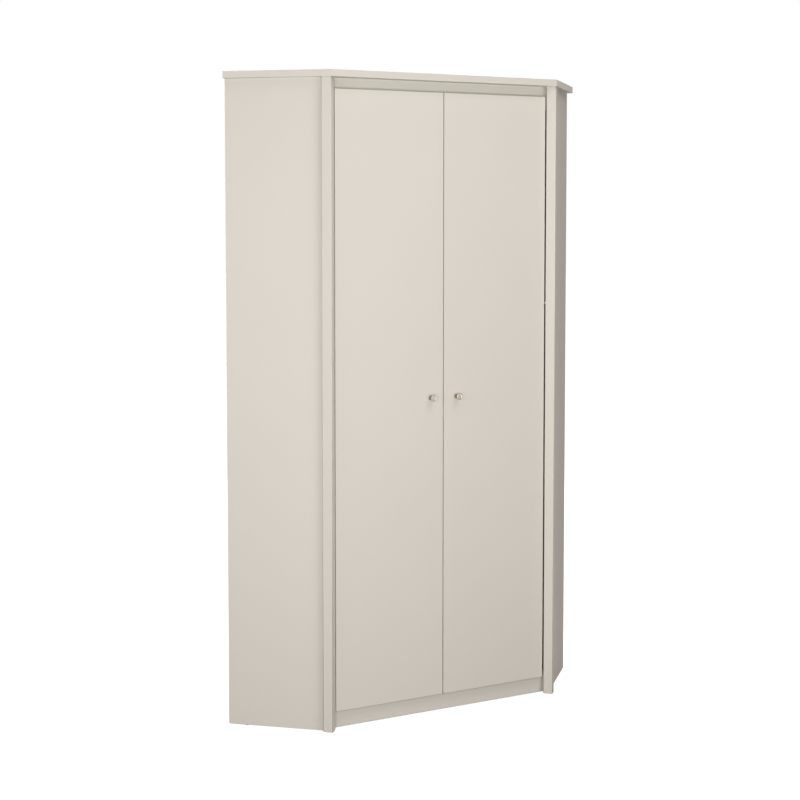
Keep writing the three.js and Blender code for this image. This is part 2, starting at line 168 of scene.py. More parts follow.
pale_floor, floor_tree, floor_output = new_material("pale_floor")
floor_is_seen = seen_directly(floor_tree)
floor_colour = add_node(floor_tree, "ShaderNodeMix", {"data_type": "RGBA"}, {
    0: floor_is_seen, 6: linear(floor_bounce), 7: linear(floor_seen),
})
floor_face = add_node(floor_tree, "ShaderNodeBsdfDiffuse", None, {"Color": floor_colour.outputs[2]})
floor_point = add_node(floor_tree, "ShaderNodeTexCoord")
floor_way_out = add_node(floor_tree, "ShaderNodeVectorMath", {"operation": "LENGTH"}, {
    0: floor_point.outputs["Object"],
})
floor_rise = add_node(floor_tree, "ShaderNodeMapRange", None, {
    "Value": floor_way_out.outputs["Value"],
    "From Min": floor_glow_reach[0], "From Max": floor_glow_reach[1],
    "To Min": floor_glow, "To Max": 1.0,
})
floor_strength = add_node(floor_tree, "ShaderNodeMath", {"operation": "MULTIPLY"}, {
    0: floor_is_seen, 1: floor_rise.outputs[0],
})
floor_light = add_node(floor_tree, "ShaderNodeEmission", None, {
    "Color": linear("#ffffff"), "Strength": floor_strength.outputs[0],
})
floor_sum = add_node(floor_tree, "ShaderNodeAddShader", None, {
    0: floor_face.outputs[0], 1: floor_light.outputs[0],
})
floor_tree.links.new(floor_sum.outputs[0], floor_output.inputs["Surface"])


def place(mesh_data, name):
    """An object at the origin that shows this mesh."""
    made = bpy.data.objects.new(name, mesh_data)
    bpy.context.scene.collection.objects.link(made)
    return made


def finished(shape, name, *materials):
    """Turns an edited shape into a piece with these materials, with its faces pointing out."""
    bmesh.ops.recalc_face_normals(shape, faces=shape.faces)
    data = bpy.data.meshes.new(name)
    shape.to_mesh(data)
    shape.free()
    for each in materials:
        data.materials.append(each)
    return place(data, name)


floor_shape = bmesh.new()
bmesh.ops.create_circle(floor_shape, cap_ends=True, radius=floor_radius, segments=floor_sides)
floor = finished(floor_shape, "studio_floor", pale_floor)

aim_height = 1.25
lamp_aim = Vector((0.0, cad_low.y, aim_height))
for name, (bearing, distance, height, size, power) in lamps.items():
    lamp_data = bpy.data.lights.new(name, "AREA")
    lamp_data.shape = "SQUARE"
    lamp_data.size = size
    lamp_data.energy = power
    lamp = place(lamp_data, name)
    turn = math.radians(bearing)
    lamp.location = (math.sin(turn) * distance, cad_low.y - math.cos(turn) * distance, height)
    lamp.rotation_mode = "QUATERNION"
    lamp.rotation_quaternion = (lamp_aim - lamp.location).to_track_quat("-Z", "Y")


# The glides are small turned polyethylene studs that keep the case's cut edges off the floor. Each is nailed
# through its middle, up into a side panel or a post, before the case is stood up.
glide_colour = "#cfc9be"
glide_chamfer = 0.0008
glide_mottle = 0.004
slim_sides = 24  # round a turned shape a few millimetres across

glide_plastic, glide_tree, glide_output = new_material("moulded_polyethylene")
# Moulded polyethylene is a dull, slightly waxy off-white, with light that sinks in a little.
glide_point = add_node(glide_tree, "ShaderNodeTexCoord")
glide_noise = add_node(glide_tree, "ShaderNodeTexNoise", None, {
    "Vector": glide_point.outputs["Object"], "Scale": 1 / glide_mottle, "Detail": 2.0,
})
glide_sheen = add_node(glide_tree, "ShaderNodeMapRange", None, {
    "Value": glide_noise.outputs[0], "To Min": 0.48, "To Max": 0.66,
})
glide_bump = add_node(glide_tree, "ShaderNodeBump", None, {
    "Height": glide_noise.outputs[0], "Distance": 0.0001, "Strength": 0.4,
})
glide_shader = add_node(glide_tree, "ShaderNodeBsdfPrincipled", None, {
    "Base Color": linear(glide_colour),
    "Roughness": glide_sheen.outputs[0],
    "IOR": 1.51,
    "Subsurface Weight": 0.15,
    "Subsurface Radius": (0.002, 0.0016, 0.0012),
    "Normal": glide_bump.outputs[0],
})
glide_tree.links.new(glide_shader.outputs[0], glide_output.inputs["Surface"])


def turned(profile, sides=48):
    """A turned shape on the Z axis from its profile of radii and heights, open or closed.
    Its UV map holds the share of a turn and the way along the profile in metres."""
    shape = bmesh.new()
    wrap = shape.loops.layers.uv.new("turning")
    closed = profile[0] == profile[-1]
    rings = []
    for radius, height in profile[:-1] if closed else profile:
        count = sides if radius > 1e-7 else 1
        turns = [2 * math.pi * k / count for k in range(count)]
        rings.append([shape.verts.new((radius * math.cos(t), radius * math.sin(t), height)) for t in turns])
    if closed:
        rings.append(rings[0])
    way = 0.0
    for i in range(len(rings) - 1):
        step = math.dist(profile[i], profile[i + 1])
        first, second = rings[i], rings[i + 1]
        for k in range(sides):
            corners = {}
            for ring, turn, along in ((first, k, way), (first, k + 1, way),
                                      (second, k + 1, way + step), (second, k, way + step)):
                corners.setdefault(ring[turn % len(ring)], (turn / sides, along))
            if len(corners) > 2:
                face = shape.faces.new(corners)
                face.smooth = True
                for loop in face.loops:
                    loop[wrap].uv = corners[loop.vert]
        way += step
    return shape


def softened(points, radius, steps=4, closed=False):
    """The same path with its corners rounded off to about this radius, and no point given twice in a row."""
    kept = []
    count = len(points)
    for i, point in enumerate(points):
        if not closed and i in (0, count - 1):
            kept.append(tuple(point))
            continue
        corner = Vector(point)
        before = Vector(points[i - 1]) - corner
        after = Vector(points[(i + 1) % count]) - corner
        start = corner + before.normalized() * min(radius, before.length / 2)
        end = corner + after.normalized() * min(radius, after.length / 2)
        for k in range(steps + 1):
            t = k / steps
            kept.append(tuple((1 - t) ** 2 * start + 2 * t * (1 - t) * corner + t * t * end))
    return [point for i, point in enumerate(kept) if math.dist(point, kept[i - 1]) > 1e-6]


def crisp(shape, angle=math.radians(35)):
    """Shades a rounded shape smooth, apart from the edges that are sharper than this angle."""
    for edge in shape.edges:
        if edge.calc_face_angle(0.0) > angle:
            edge.smooth = False


def fit(piece, body, slot, *nodes):
    """The piece takes the place of these CAD nodes and moves with their body."""
    if nodes:
        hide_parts(*nodes)
    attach(piece, body)


for node_name in [name for name in frame["nodes"] if name.startswith("glide_")]:
    low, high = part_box(node_name)
    glide_radius = (high.x - low.x) / 2
    stud = turned([
        (0.0, low.z),
        (glide_radius - glide_chamfer, low.z),
        (glide_radius, low.z + glide_chamfer),
        (glide_radius, high.z),
        (0.0, high.z),
    ])
    crisp(stud)
    stud.transform(Matrix.Translation(((low.x + high.x) / 2, (low.y + high.y) / 2, 0.0)))
    fit(finished(stud, node_name + "_stud", glide_plastic), "case", "glide_plastic", node_name)


# The side panels are chipboard faced with melamine paper, cut to size at the mill. Each has a rebate along
# its back edge for the thin back, and its edges stay bare, because posts, walls, floor and top hide them.
melamine_colour = "#dad8ce"
melamine_deeper = "#d7d5cb"
melamine_cloud = 0.35  # metres between the faint lighter and darker places that the press leaves
noise_span = {"From Min": 0.3, "From Max": 0.7}  # where most of a noise's values lie
pearl_grain = 0.0011  # the paper's pearl embossing is finer, and is drawn as coarse as it needs to show

melamine, melamine_tree, melamine_output = new_material("melamine_faced_chipboard")
# Melamine paper pressed on chipboard is an even warm grey with a silky low gloss, and grazing light shows
# only the faintest grain and unevenness in it.
melamine_point = add_node(melamine_tree, "ShaderNodeTexCoord")
melamine_clouds = add_node(melamine_tree, "ShaderNodeTexNoise", None, {
    "Vector": melamine_point.outputs["Object"], "Scale": 1 / melamine_cloud, "Detail": 2.0,
})
melamine_grain = add_node(melamine_tree, "ShaderNodeTexNoise", None, {
    "Vector": melamine_point.outputs["Object"], "Scale": 1 / pearl_grain, "Detail": 3.0,
})
melamine_tone = add_node(melamine_tree, "ShaderNodeMix", {"data_type": "RGBA"}, {
    0: melamine_clouds.outputs[0],
    6: linear(melamine_colour),
    7: linear(melamine_deeper),
})
melamine_gloss = add_node(melamine_tree, "ShaderNodeMapRange", None, {
    "Value": melamine_grain.outputs[0], **noise_span, "To Min": 0.56, "To Max": 0.64,
})
melamine_bump = add_node(melamine_tree, "ShaderNodeBump", None, {
    "Height": melamine_grain.outputs[0], "Distance": 0.00003, "Strength": 0.5,
})
melamine_shader = add_node(melamine_tree, "ShaderNodeBsdfPrincipled", None, {
    "Base Color": melamine_tone.outputs[2],
    "Roughness": melamine_gloss.outputs[0],
    "IOR": 1.5,
    "Specular IOR Level": 0.10,
    "Normal": melamine_bump.outputs[0],
})
melamine_tree.links.new(melamine_shader.outputs[0], melamine_output.inputs["Surface"])

chip_size = 0.0035  # metres across a chip of spruce in a sawn edge
chip_colours = ("#a8875d", "#c2a478", "#d8c096", "#8c6b45")
chip_flatness = 2.2  # chips lie flat in the press, so a cut edge shows them longer than high

chipboard, chip_tree, chip_output = new_material("sawn_chipboard")
# A sawn chipboard edge is a dry mosaic of pale and darker spruce chips with small pits between them.
chip_point = add_node(chip_tree, "ShaderNodeTexCoord")
chip_stretch = add_node(chip_tree, "ShaderNodeMapping", None, {
    "Vector": chip_point.outputs["Object"], "Scale": (1.0, 1.0, 1 / chip_flatness),
})
chip_cells = add_node(chip_tree, "ShaderNodeTexVoronoi", None, {
    "Vector": chip_stretch.outputs[0], "Scale": 1 / chip_size, "Randomness": 1.0,
})
chip_pick = add_node(chip_tree, "ShaderNodeSeparateColor", None, {"Color": chip_cells.outputs["Color"]})
chip_ramp = add_node(chip_tree, "ShaderNodeValToRGB", None, {"Fac": chip_pick.outputs[0]})
chip_ramp.color_ramp.interpolation = "CONSTANT"
while len(chip_ramp.color_ramp.elements) < len(chip_colours):
    chip_ramp.color_ramp.elements.new(0.5)
for i, colour in enumerate(chip_colours):
    chip_ramp.color_ramp.elements[i].position = i / len(chip_colours)
    chip_ramp.color_ramp.elements[i].color = linear(colour)
chip_fibre = add_node(chip_tree, "ShaderNodeTexNoise", None, {
    "Vector": chip_point.outputs["Object"], "Scale": 2 / chip_size, "Detail": 4.0,
})
chip_shade = add_node(chip_tree, "ShaderNodeMapRange", None, {
    "Value": chip_fibre.outputs[0], **noise_span, "To Min": 0.72, "To Max": 1.0,
})
chip_tone = add_node(chip_tree, "ShaderNodeMix", {"data_type": "RGBA", "blend_type": "MULTIPLY"}, {
    0: 1.0, 6: chip_ramp.outputs[0], 7: chip_shade.outputs[0],
})
chip_bump = add_node(chip_tree, "ShaderNodeBump", None, {
    "Height": chip_cells.outputs["Distance"], "Distance": 0.0004, "Strength": 0.6,
})
chip_shader = add_node(chip_tree, "ShaderNodeBsdfPrincipled", None, {
    "Base Color": chip_tone.outputs[2],
    "Roughness": 0.88,
    "IOR": 1.45,
    "Normal": chip_bump.outputs[0],
})
chip_tree.links.new(chip_shader.outputs[0], chip_output.inputs["Surface"])

edging_colour = "#d4d2c8"
scrape_length = 0.05  # metres between the faint marks of the scraper along an edge
scrape_width = 0.0012

edging, edging_tree, edging_output = new_material("abs_edging")
# A millimetre of ABS, glued on hot and scraped flush, is the paper's colour, a little smoother, with faint
# long marks of the scraper.
edging_point = add_node(edging_tree, "ShaderNodeTexCoord")
edging_stretch = add_node(edging_tree, "ShaderNodeMapping", None, {
    "Vector": edging_point.outputs["Object"],
    "Scale": (1 / scrape_width, 1 / scrape_width, 1 / scrape_length),
})
edging_marks = add_node(edging_tree, "ShaderNodeTexNoise", None, {
    "Vector": edging_stretch.outputs[0], "Scale": 1.0, "Detail": 2.0,
})
edging_gloss = add_node(edging_tree, "ShaderNodeMapRange", None, {
    "Value": edging_marks.outputs[0], **noise_span, "To Min": 0.38, "To Max": 0.50,
})
edging_bump = add_node(edging_tree, "ShaderNodeBump", None, {
    "Height": edging_marks.outputs[0], "Distance": 0.00002, "Strength": 0.4,
})
edging_shader = add_node(edging_tree, "ShaderNodeBsdfPrincipled", None, {
    "Base Color": linear(edging_colour),
    "Roughness": edging_gloss.outputs[0],
    "IOR": 1.53,
    "Specular IOR Level": 0.14,
    "Normal": edging_bump.outputs[0],
})
edging_tree.links.new(edging_shader.outputs[0], edging_output.inputs["Surface"])


def plan_outline(node_name):
    """The outline in plan of an upright piece, read from the lowest flat face of its CAD node."""
    shape = bmesh.new()
    shape.from_mesh(frame["nodes"][node_name].data)
    bmesh.ops.remove_doubles(shape, verts=shape.verts, dist=1e-6)
    lowest = min(v.co.z for v in shape.verts)
    base = [f for f in shape.faces if all(abs(v.co.z - lowest) < 1e-5 for v in f.verts)]
    rim = [e for e in shape.edges if sum(f in base for f in e.link_faces) == 1]
    loops = []
    while rim:
        edge = rim.pop()
        loop = [edge.verts[0], edge.verts[1]]
        while True:
            after = next((e for e in rim if loop[-1] in e.verts), None)
            if after is None:
                break
            rim.remove(after)
            loop.append(after.other_vert(loop[-1]))
        loops.append([v.co.xy.copy() for v in loop[:-1]])
    outline = max(loops, key=lambda points: sum((a - b).length for a, b in zip(points, points[1:])))
    shape.free()
    kept = []
    for i, point in enumerate(outline):
        before, after = outline[i - 1], outline[(i + 1) % len(outline)]
        turn = (point - before).normalized().cross((after - point).normalized())
        if abs(turn) > 1e-3:
            kept.append(point)
    return kept


def upright(outline, low, high):
    """A prism over a plan outline, between two heights."""
    shape = bmesh.new()
    base, top = [[shape.verts.new((x, y, z)) for x, y in outline] for z in (low, high)]
    shape.faces.new(base)
    shape.faces.new(top)
    for k in range(len(outline)):
        shape.faces.new((base[k - 1], base[k], top[k], top[k - 1]))
    bmesh.ops.recalc_face_normals(shape, faces=shape.faces)
    return shape


def block(low, high):
    """A box between two corners."""
    corners = [(low[0], low[1]), (high[0], low[1]), (high[0], high[1]), (low[0], high[1])]
    return upright(corners, low[2], high[2])


def eased(shape, width, edges=None, segments=2):
    """Rounds these edges of a shape, or all of them, and shades the rounding smooth."""
    rounding = bmesh.ops.bevel(
        shape, geom=shape.edges[:] if edges is None else edges, offset=width, offset_type="OFFSET",
        segments=segments, profile=0.5, affect="EDGES", clamp_overlap=True,
    )
    for face in rounding["faces"]:
        face.smooth = True
    shape.normal_update()


# In the left wing's frame X runs out from the room's left wall, and Y along that wall from the top's end.
wing_corner = min(plan_outline("top_board"), key=lambda point: point.x)
half_turn = math.sqrt(0.5)
wing_left = Matrix((
    (half_turn, half_turn, 0.0, wing_corner.x),
    (-half_turn, half_turn, 0.0, wing_corner.y),
    (0.0, 0.0, 1.0, 0.0),
    (0.0, 0.0, 0.0, 1.0),
))
mirror = {"left": Matrix.Identity(4), "right": Matrix.Diagonal((-1.0, 1.0, 1.0, 1.0))}
wing = {side: mirror[side] @ wing_left for side in mirror}
outward = Vector((half_turn, -half_turn, 0.0))
onward = Vector((half_turn, half_turn, 0.0))


def wing_box(node_name):
    """The lowest and highest corners of a CAD node of the left half, in the wing frame."""
    into = wing_left.inverted()
    corners = [into @ vertex.co for vertex in frame["nodes"][node_name].data.vertices]
    low = Vector([min(corner[axis] for corner in corners) for axis in range(3)])
    high = Vector([max(corner[axis] for corner in corners) for axis in range(3)])
    return low, high


band_width = 0.001  # the edging's thickness, as it shows along the face
arris = 0.0008
least_face = 0.02  # square metres. Smaller faces are edges and rebates.
same_way = 0.99  # the cosine over which two directions count as one


def board(node_name, *banded):
    """A faced board in the place of a CAD node. Its edges that look in the banded directions carry edging
    with an eased arris, and the others stay as the saw left them."""
    low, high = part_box(node_name)
    shape = upright(plan_outline(node_name), low.z, high.z)
    face_normal = max(shape.faces, key=lambda face: face.calc_area()).normal.copy()

    def has_band(face):
        return any(face.normal.dot(way) > same_way for way in banded)

    sawn = [face.normal.copy() for face in shape.faces if not has_band(face)]
    banded_edges = [edge for edge in shape.edges if any(has_band(face) for face in edge.link_faces)]
    if banded_edges:
        eased(shape, arris, banded_edges)
    for face in shape.faces:
        if abs(face.normal.dot(face_normal)) > same_way and face.calc_area() > least_face:
            face.material_index = 0
        elif any(face.normal.dot(way) > same_way for way in sawn):
            face.material_index = 2
        else:
            face.material_index = 1
    wide = [face for face in shape.faces if face.material_index == 0]
    inset = bmesh.ops.inset_individual(shape, faces=wide, thickness=band_width, use_even_offset=True)
    rims = inset["faces"]
    for face in rims:
        beside = [other for edge in face.edges for other in edge.link_faces if other not in rims]
        face.material_index = 1 if any(other.material_index == 1 for other in beside) else 0
        face.smooth = False
    return finished(shape, node_name + "_faced", melamine, edging, chipboard)


def drilled(piece, *cutters):
    """Cuts holes with these shapes, whose walls show bare chipboard."""
    for cutter in cutters:
        for face in cutter.faces:
            face.material_index = 2
        bit = finished(cutter, "bit", *piece.data.materials)
        hole = piece.modifiers.new("hole", "BOOLEAN")
        hole.operation = "DIFFERENCE"
        hole.solver = "EXACT"
        hole.object = bit
        seen = piece.evaluated_get(bpy.context.evaluated_depsgraph_get())
        whole = piece.data
        piece.data = bpy.data.meshes.new_from_object(seen)
        piece.data.name = piece.name
        piece.modifiers.clear()
        bpy.data.meshes.remove(whole)
        bpy.data.meshes.remove(bit.data)
    return piece


along_y = Matrix.Rotation(-math.pi / 2, 4, "X")  # a turned shape from the Z axis to the Y axis
pin_play = 0.0003  # between a shelf pin and its blind hole
pin_bit_length = 0.02

for side in ("left", "right"):
    node_name = "side_panel_" + side
    pin_bits = []
    for pin_place in ("front", "rear"):
        low, high = wing_box("shelf_pin_left_" + pin_place)
        pin_hole = (high.z - low.z) / 2 + pin_play
        bit = turned([
            (0.0, -pin_play),
            (pin_hole, -pin_play),
            (pin_hole, pin_bit_length),
            (0.0, pin_bit_length),
        ], slim_sides)
        bit.transform(Matrix.Translation(((low.x + high.x) / 2, low.y, (low.z + high.z) / 2)) @ along_y)
        bit.transform(wing[side])
        pin_bits.append(bit)
    fit(drilled(board(node_name), *pin_bits), "case", "melamine_board", node_name)


# The two front posts and the post in the room's corner are square bars of fibreboard, wrapped in foil of the
# boards' colour round softly rounded arrises. They are screwed to the panels from inside.
foil_colour = "#d4d2c8"
fibre_colour = "#b09772"
fibre_size = 0.0008
post_arris = 0.0016

foil, foil_tree, foil_output = new_material("foil_wrapped_fibreboard")
# Foil drawn hot round a profile is the boards' warm grey, a touch silkier, with a very slight orange peel.
foil_point = add_node(foil_tree, "ShaderNodeTexCoord")
foil_peel = add_node(foil_tree, "ShaderNodeTexNoise", None, {
    "Vector": foil_point.outputs["Object"], "Scale": 1 / (2 * pearl_grain), "Detail": 2.0,
})
foil_gloss = add_node(foil_tree, "ShaderNodeMapRange", None, {
    "Value": foil_peel.outputs[0], **noise_span, "To Min": 0.46, "To Max": 0.54,
})
foil_bump = add_node(foil_tree, "ShaderNodeBump", None, {
    "Height": foil_peel.outputs[0], "Distance": 0.00004, "Strength": 0.5,
})
foil_shader = add_node(foil_tree, "ShaderNodeBsdfPrincipled", None, {
    "Base Color": linear(foil_colour),
    "Roughness": foil_gloss.outputs[0],
    "IOR": 1.5,
    "Specular IOR Level": 0.12,
    "Normal": foil_bump.outputs[0],
})
foil_tree.links.new(foil_shader.outputs[0], foil_output.inputs["Surface"])

fibreboard, fibre_tree, fibre_output = new_material("sawn_fibreboard")
# A sawn fibreboard end is an even, felt-like tan.
fibre_point = add_node(fibre_tree, "ShaderNodeTexCoord")
fibre_noise = add_node(fibre_tree, "ShaderNodeTexNoise", None, {
    "Vector": fibre_point.outputs["Object"], "Scale": 1 / fibre_size, "Detail": 4.0,
})
fibre_bump = add_node(fibre_tree, "ShaderNodeBump", None, {
    "Height": fibre_noise.outputs[0], "Distance": 0.0002, "Strength": 0.5,
})
fibre_shader = add_node(fibre_tree, "ShaderNodeBsdfPrincipled", None, {
    "Base Color": linear(fibre_colour), "Roughness": 0.92, "IOR": 1.45, "Normal": fibre_bump.outputs[0],
})
fibre_tree.links.new(fibre_shader.outputs[0], fibre_output.inputs["Surface"])


def standing_edges(shape):
    """The edges of a prism that stand between its two ends."""
    return [edge for edge in shape.edges if abs(edge.verts[0].co.z - edge.verts[1].co.z) > 0.001]


for node_name in ("front_post_left", "front_post_right", "back_corner_post"):
    low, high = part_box(node_name)
    bar = upright(plan_outline(node_name), low.z, high.z)
    for face in bar.faces:
        face.material_index = 1 if abs(face.normal.z) > same_way else 0
    eased(bar, post_arris, standing_edges(bar), segments=5)
    fit(finished(bar, node_name + "_wrapped", foil, fibreboard), "case", "melamine_board", node_name)


# The plinth rail, the bottom board and the frieze rail tie the two side panels together. They are faced
# boards, edged where an edge shows, and drawn tight against the panels by cams and dowels.
frontward = Vector((0.0, -1.0, 0.0))
downward = Vector((0.0, 0.0, -1.0))

for node_name, banded in (
    ("plinth_rail", [downward]),
    ("bottom_board", [frontward]),
    ("frieze_rail", [downward]),
):
    fit(board(node_name, *banded), "case", "melamine_board", node_name)


# The two thin backs are 3 mm hardboard, painted at the mill on the face towards the clothes and bare behind.
# They lie in the panels' rebates and are nailed along their edges.
painted_colour = "#d6d0c5"
bare_colour = "#8d6f4f"
bare_darker = "#775a3d"
screen_pitch = 0.003  # the wire screen that the pulp dries on is half as coarse, and is drawn to show
stain_size = 0.22

painted, painted_tree, painted_output = new_material("painted_hardboard")
# Roller-painted hardboard is flat and even, with a fine eggshell.
painted_point = add_node(painted_tree, "ShaderNodeTexCoord")
painted_shell = add_node(painted_tree, "ShaderNodeTexNoise", None, {
    "Vector": painted_point.outputs["Object"], "Scale": 1 / pearl_grain, "Detail": 2.0,
})
painted_gloss = add_node(painted_tree, "ShaderNodeMapRange", None, {
    "Value": painted_shell.outputs[0], **noise_span, "To Min": 0.58, "To Max": 0.70,
})
painted_bump = add_node(painted_tree, "ShaderNodeBump", None, {
    "Height": painted_shell.outputs[0], "Distance": 0.00006, "Strength": 0.5,
})
painted_shader = add_node(painted_tree, "ShaderNodeBsdfPrincipled", None, {
    "Base Color": linear(painted_colour),
    "Roughness": painted_gloss.outputs[0],
    "IOR": 1.5,
    "Specular IOR Level": 0.3,
    "Normal": painted_bump.outputs[0],
})
painted_tree.links.new(painted_shader.outputs[0], painted_output.inputs["Surface"])

hardboard, bare_tree, bare_output = new_material("bare_hardboard")
# Bare hardboard is brown pressed fibre, darker in soft clouds, with the print of the wire screen all over.
bare_point = add_node(bare_tree, "ShaderNodeTexCoord")
bare_clouds = add_node(bare_tree, "ShaderNodeTexNoise", None, {
    "Vector": bare_point.outputs["Object"], "Scale": 1 / stain_size, "Detail": 5.0,
})
bare_fibres = add_node(bare_tree, "ShaderNodeTexNoise", None, {
    "Vector": bare_point.outputs["Object"], "Scale": 1 / screen_pitch, "Detail": 3.0,
})
bare_both = add_node(bare_tree, "ShaderNodeMix", {"data_type": "FLOAT"}, {
    0: 0.4, 2: bare_clouds.outputs[0], 3: bare_fibres.outputs[0],
})
bare_share = add_node(bare_tree, "ShaderNodeMapRange", None, {
    "Value": bare_both.outputs[0], "From Min": 0.35, "From Max": 0.65,
})
bare_tone = add_node(bare_tree, "ShaderNodeMix", {"data_type": "RGBA"}, {
    0: bare_share.outputs[0], 6: linear(bare_darker), 7: linear(bare_colour),
})
bare_turn = add_node(bare_tree, "ShaderNodeMapping", None, {
    "Vector": bare_point.outputs["Object"],
    "Scale": (half_turn / screen_pitch, half_turn / screen_pitch, 1 / screen_pitch),
})
bare_wires = add_node(bare_tree, "ShaderNodeTexChecker", None, {
    "Vector": bare_turn.outputs[0], "Scale": 1.0,
})
bare_height = add_node(bare_tree, "ShaderNodeMath", {"operation": "ADD"}, {
    0: bare_wires.outputs["Fac"], 1: bare_fibres.outputs[0],
})
bare_bump = add_node(bare_tree, "ShaderNodeBump", None, {
    "Height": bare_height.outputs[0], "Distance": 0.00012, "Strength": 0.5,
})
bare_shader = add_node(bare_tree, "ShaderNodeBsdfPrincipled", None, {
    "Base Color": bare_tone.outputs[2], "Roughness": 0.82, "IOR": 1.45, "Normal": bare_bump.outputs[0],
})
bare_tree.links.new(bare_shader.outputs[0], bare_output.inputs["Surface"])

for side in ("left", "right"):
    node_name = "back_panel_" + side
    low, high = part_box(node_name)
    sheet = upright(plan_outline(node_name), low.z, high.z)
    inner = mirror[side].to_3x3() @ outward
    for face in sheet.faces:
        face.material_index = 0 if face.normal.dot(inner) > same_way else 1
    fit(finished(sheet, node_name + "_sheet", painted, hardboard), "case", "thin_back_board", node_name)


# The top is a five-sided faced board. It lies on the panels, posts and rails, is edged along its three front
# edges, and hides the sawn edges along the walls.
short_left = -onward
short_right = mirror["right"].to_3x3() @ short_left
fit(board("top_board", frontward, short_left, short_right), "case", "melamine_board", "top_board")


# Two bent steel angles tie the top to the room's walls. They are stamped and barrel plated, with a screw up
# into the top and one through the thin back into the wall.
plated_colour = "#c2c4c6"
plated_cloud = 0.006
scratch_width = 0.0006
tie_sheet = 0.002
bend_radius = 0.002
tie_corner = 0.005
tie_screw_drop = 0.004  # its lower screw under the middle of the upright leg

plated, plated_tree, plated_output = new_material("nickel_plated_steel")
# Barrel-plated steel is a bright cool grey with cloudy gloss and many short fine scratches from the barrel.
plated_point = add_node(plated_tree, "ShaderNodeTexCoord")
plated_clouds = add_node(plated_tree, "ShaderNodeTexNoise", None, {
    "Vector": plated_point.outputs["Object"], "Scale": 1 / plated_cloud, "Detail": 3.0,
})
plated_scratches = add_node(plated_tree, "ShaderNodeTexNoise", None, {
    "Vector": plated_point.outputs["Object"],
    "Scale": 1 / scratch_width,
    "Detail": 2.0,
    "Distortion": 1.5,
})
plated_gloss = add_node(plated_tree, "ShaderNodeMapRange", None, {
    "Value": plated_clouds.outputs[0], **noise_span, "To Min": 0.20, "To Max": 0.34,
})
plated_bump = add_node(plated_tree, "ShaderNodeBump", None, {
    "Height": plated_scratches.outputs[0], "Distance": 0.00001, "Strength": 0.4,
})
plated_shader = add_node(plated_tree, "ShaderNodeBsdfPrincipled", None, {
    "Base Color": linear(plated_colour),
    "Metallic": 1.0,
    "Roughness": plated_gloss.outputs[0],
    "Normal": plated_bump.outputs[0],
})
plated_tree.links.new(plated_shader.outputs[0], plated_output.inputs["Surface"])


def midway(first, second):
    """The point halfway between two others."""
    return (first + second) / 2


def square_edges(shape):
    """The edges where two faces of a plain shape meet at a right angle or thereabouts."""
    return [edge for edge in shape.edges if edge.calc_face_angle(0.0) > 1.0]


upended = Matrix(((1, 0, 0, 0), (0, 0, 1, 0), (0, 1, 0, 0), (0, 0, 0, 1)))  # an upright prism, laid along Y
screw_places = {"case": [], "left_leaf": [], "right_leaf": []}  # a point and the way that its head faces

for side in ("left", "right"):
    node_name = "wall_bracket_" + side
    low, high = wing_box("wall_bracket_left")
    outer_bend = [(high.x, high.z), (low.x, high.z), (low.x, low.z)]
    inner_bend = [
        (low.x + tie_sheet, low.z),
        (low.x + tie_sheet, high.z - tie_sheet),
        (high.x, high.z - tie_sheet),
    ]
    section = softened(outer_bend, bend_radius + tie_sheet, steps=6)
    section += softened(inner_bend, bend_radius, steps=6)
    tie = upright(section, low.y, high.y)
    standing = standing_edges(tie)
    leg_corners = [
        edge for edge in square_edges(tie)
        if edge not in standing and edge.calc_length() < 1.5 * tie_sheet
    ]
    eased(tie, tie_corner, leg_corners, segments=6)
    crisp(tie)
    tie.transform(wing[side] @ upended)
    fit(finished(tie, node_name + "_angle", plated), "case", "plated_steel", node_name)
    middle = midway(low, high)
    upper_spot = Vector((middle.x, middle.y, high.z - tie_sheet))
    lower_spot = Vector((low.x + tie_sheet, middle.y, middle.z - tie_screw_drop))
    off_wall = wing[side].to_3x3() @ Vector((1, 0, 0))
    screw_places["case"].append((wing[side] @ upper_spot, downward))
    screw_places["case"].append((wing[side] @ lower_spot, off_wall))


# The hat shelf is a faced board, edged along its front, that lies loose on steel pins pushed into blind
# holes in the side panels. A short stepped pin on the corner post carries its back corner.
fit(board("hat_shelf", frontward), "case", "melamine_board", "hat_shelf")

pin_rim = 0.0005
pin_sides = 32
tab_length = 0.009
tab_steel = 0.002
tab_arris = 0.0006


def together(first, *others):
    """Adds other closed shapes to the first."""
    for other in others:
        data = bpy.data.meshes.new("part")
        other.to_mesh(data)
        other.free()
        first.from_mesh(data)
        bpy.data.meshes.remove(data)
    return first


for side in ("left", "right"):
    for pin_place in ("front", "rear"):
        node_name = f"shelf_pin_{side}_{pin_place}"
        low, high = wing_box("shelf_pin_left_" + pin_place)
        shank_radius = (high.z - low.z) / 2
        shank_end = high.y - pin_play
        middle = midway(low, high)
        shank = turned(softened([
            (0.0, low.y),
            (shank_radius, low.y),
            (shank_radius, shank_end),
            (0.0, shank_end),
        ], pin_rim), pin_sides)
        shank.transform(Matrix.Translation((middle.x, 0.0, middle.z)) @ along_y)
        crisp(shank)
        tab = block((low.x, high.y - tab_length, high.z - tab_steel), high)
        eased(tab, tab_arris)
        pin = together(shank, tab)
        pin.transform(wing[side])
        fit(finished(pin, node_name + "_steel", plated), "case", "plated_steel", node_name)
    node_name = f"shelf_pin_{side}_corner"
    low, high = wing_box("shelf_pin_left_corner")
    step = block((low.x, high.y - tab_steel, low.z), high)
    eased(step, tab_arris)
    tab = block((low.x, low.y, high.z - tab_steel), high)
    eased(tab, tab_arris)
    pin = together(step, tab)
    pin.transform(wing[side])
    fit(finished(pin, node_name + "_steel", plated), "case", "plated_steel", node_name)


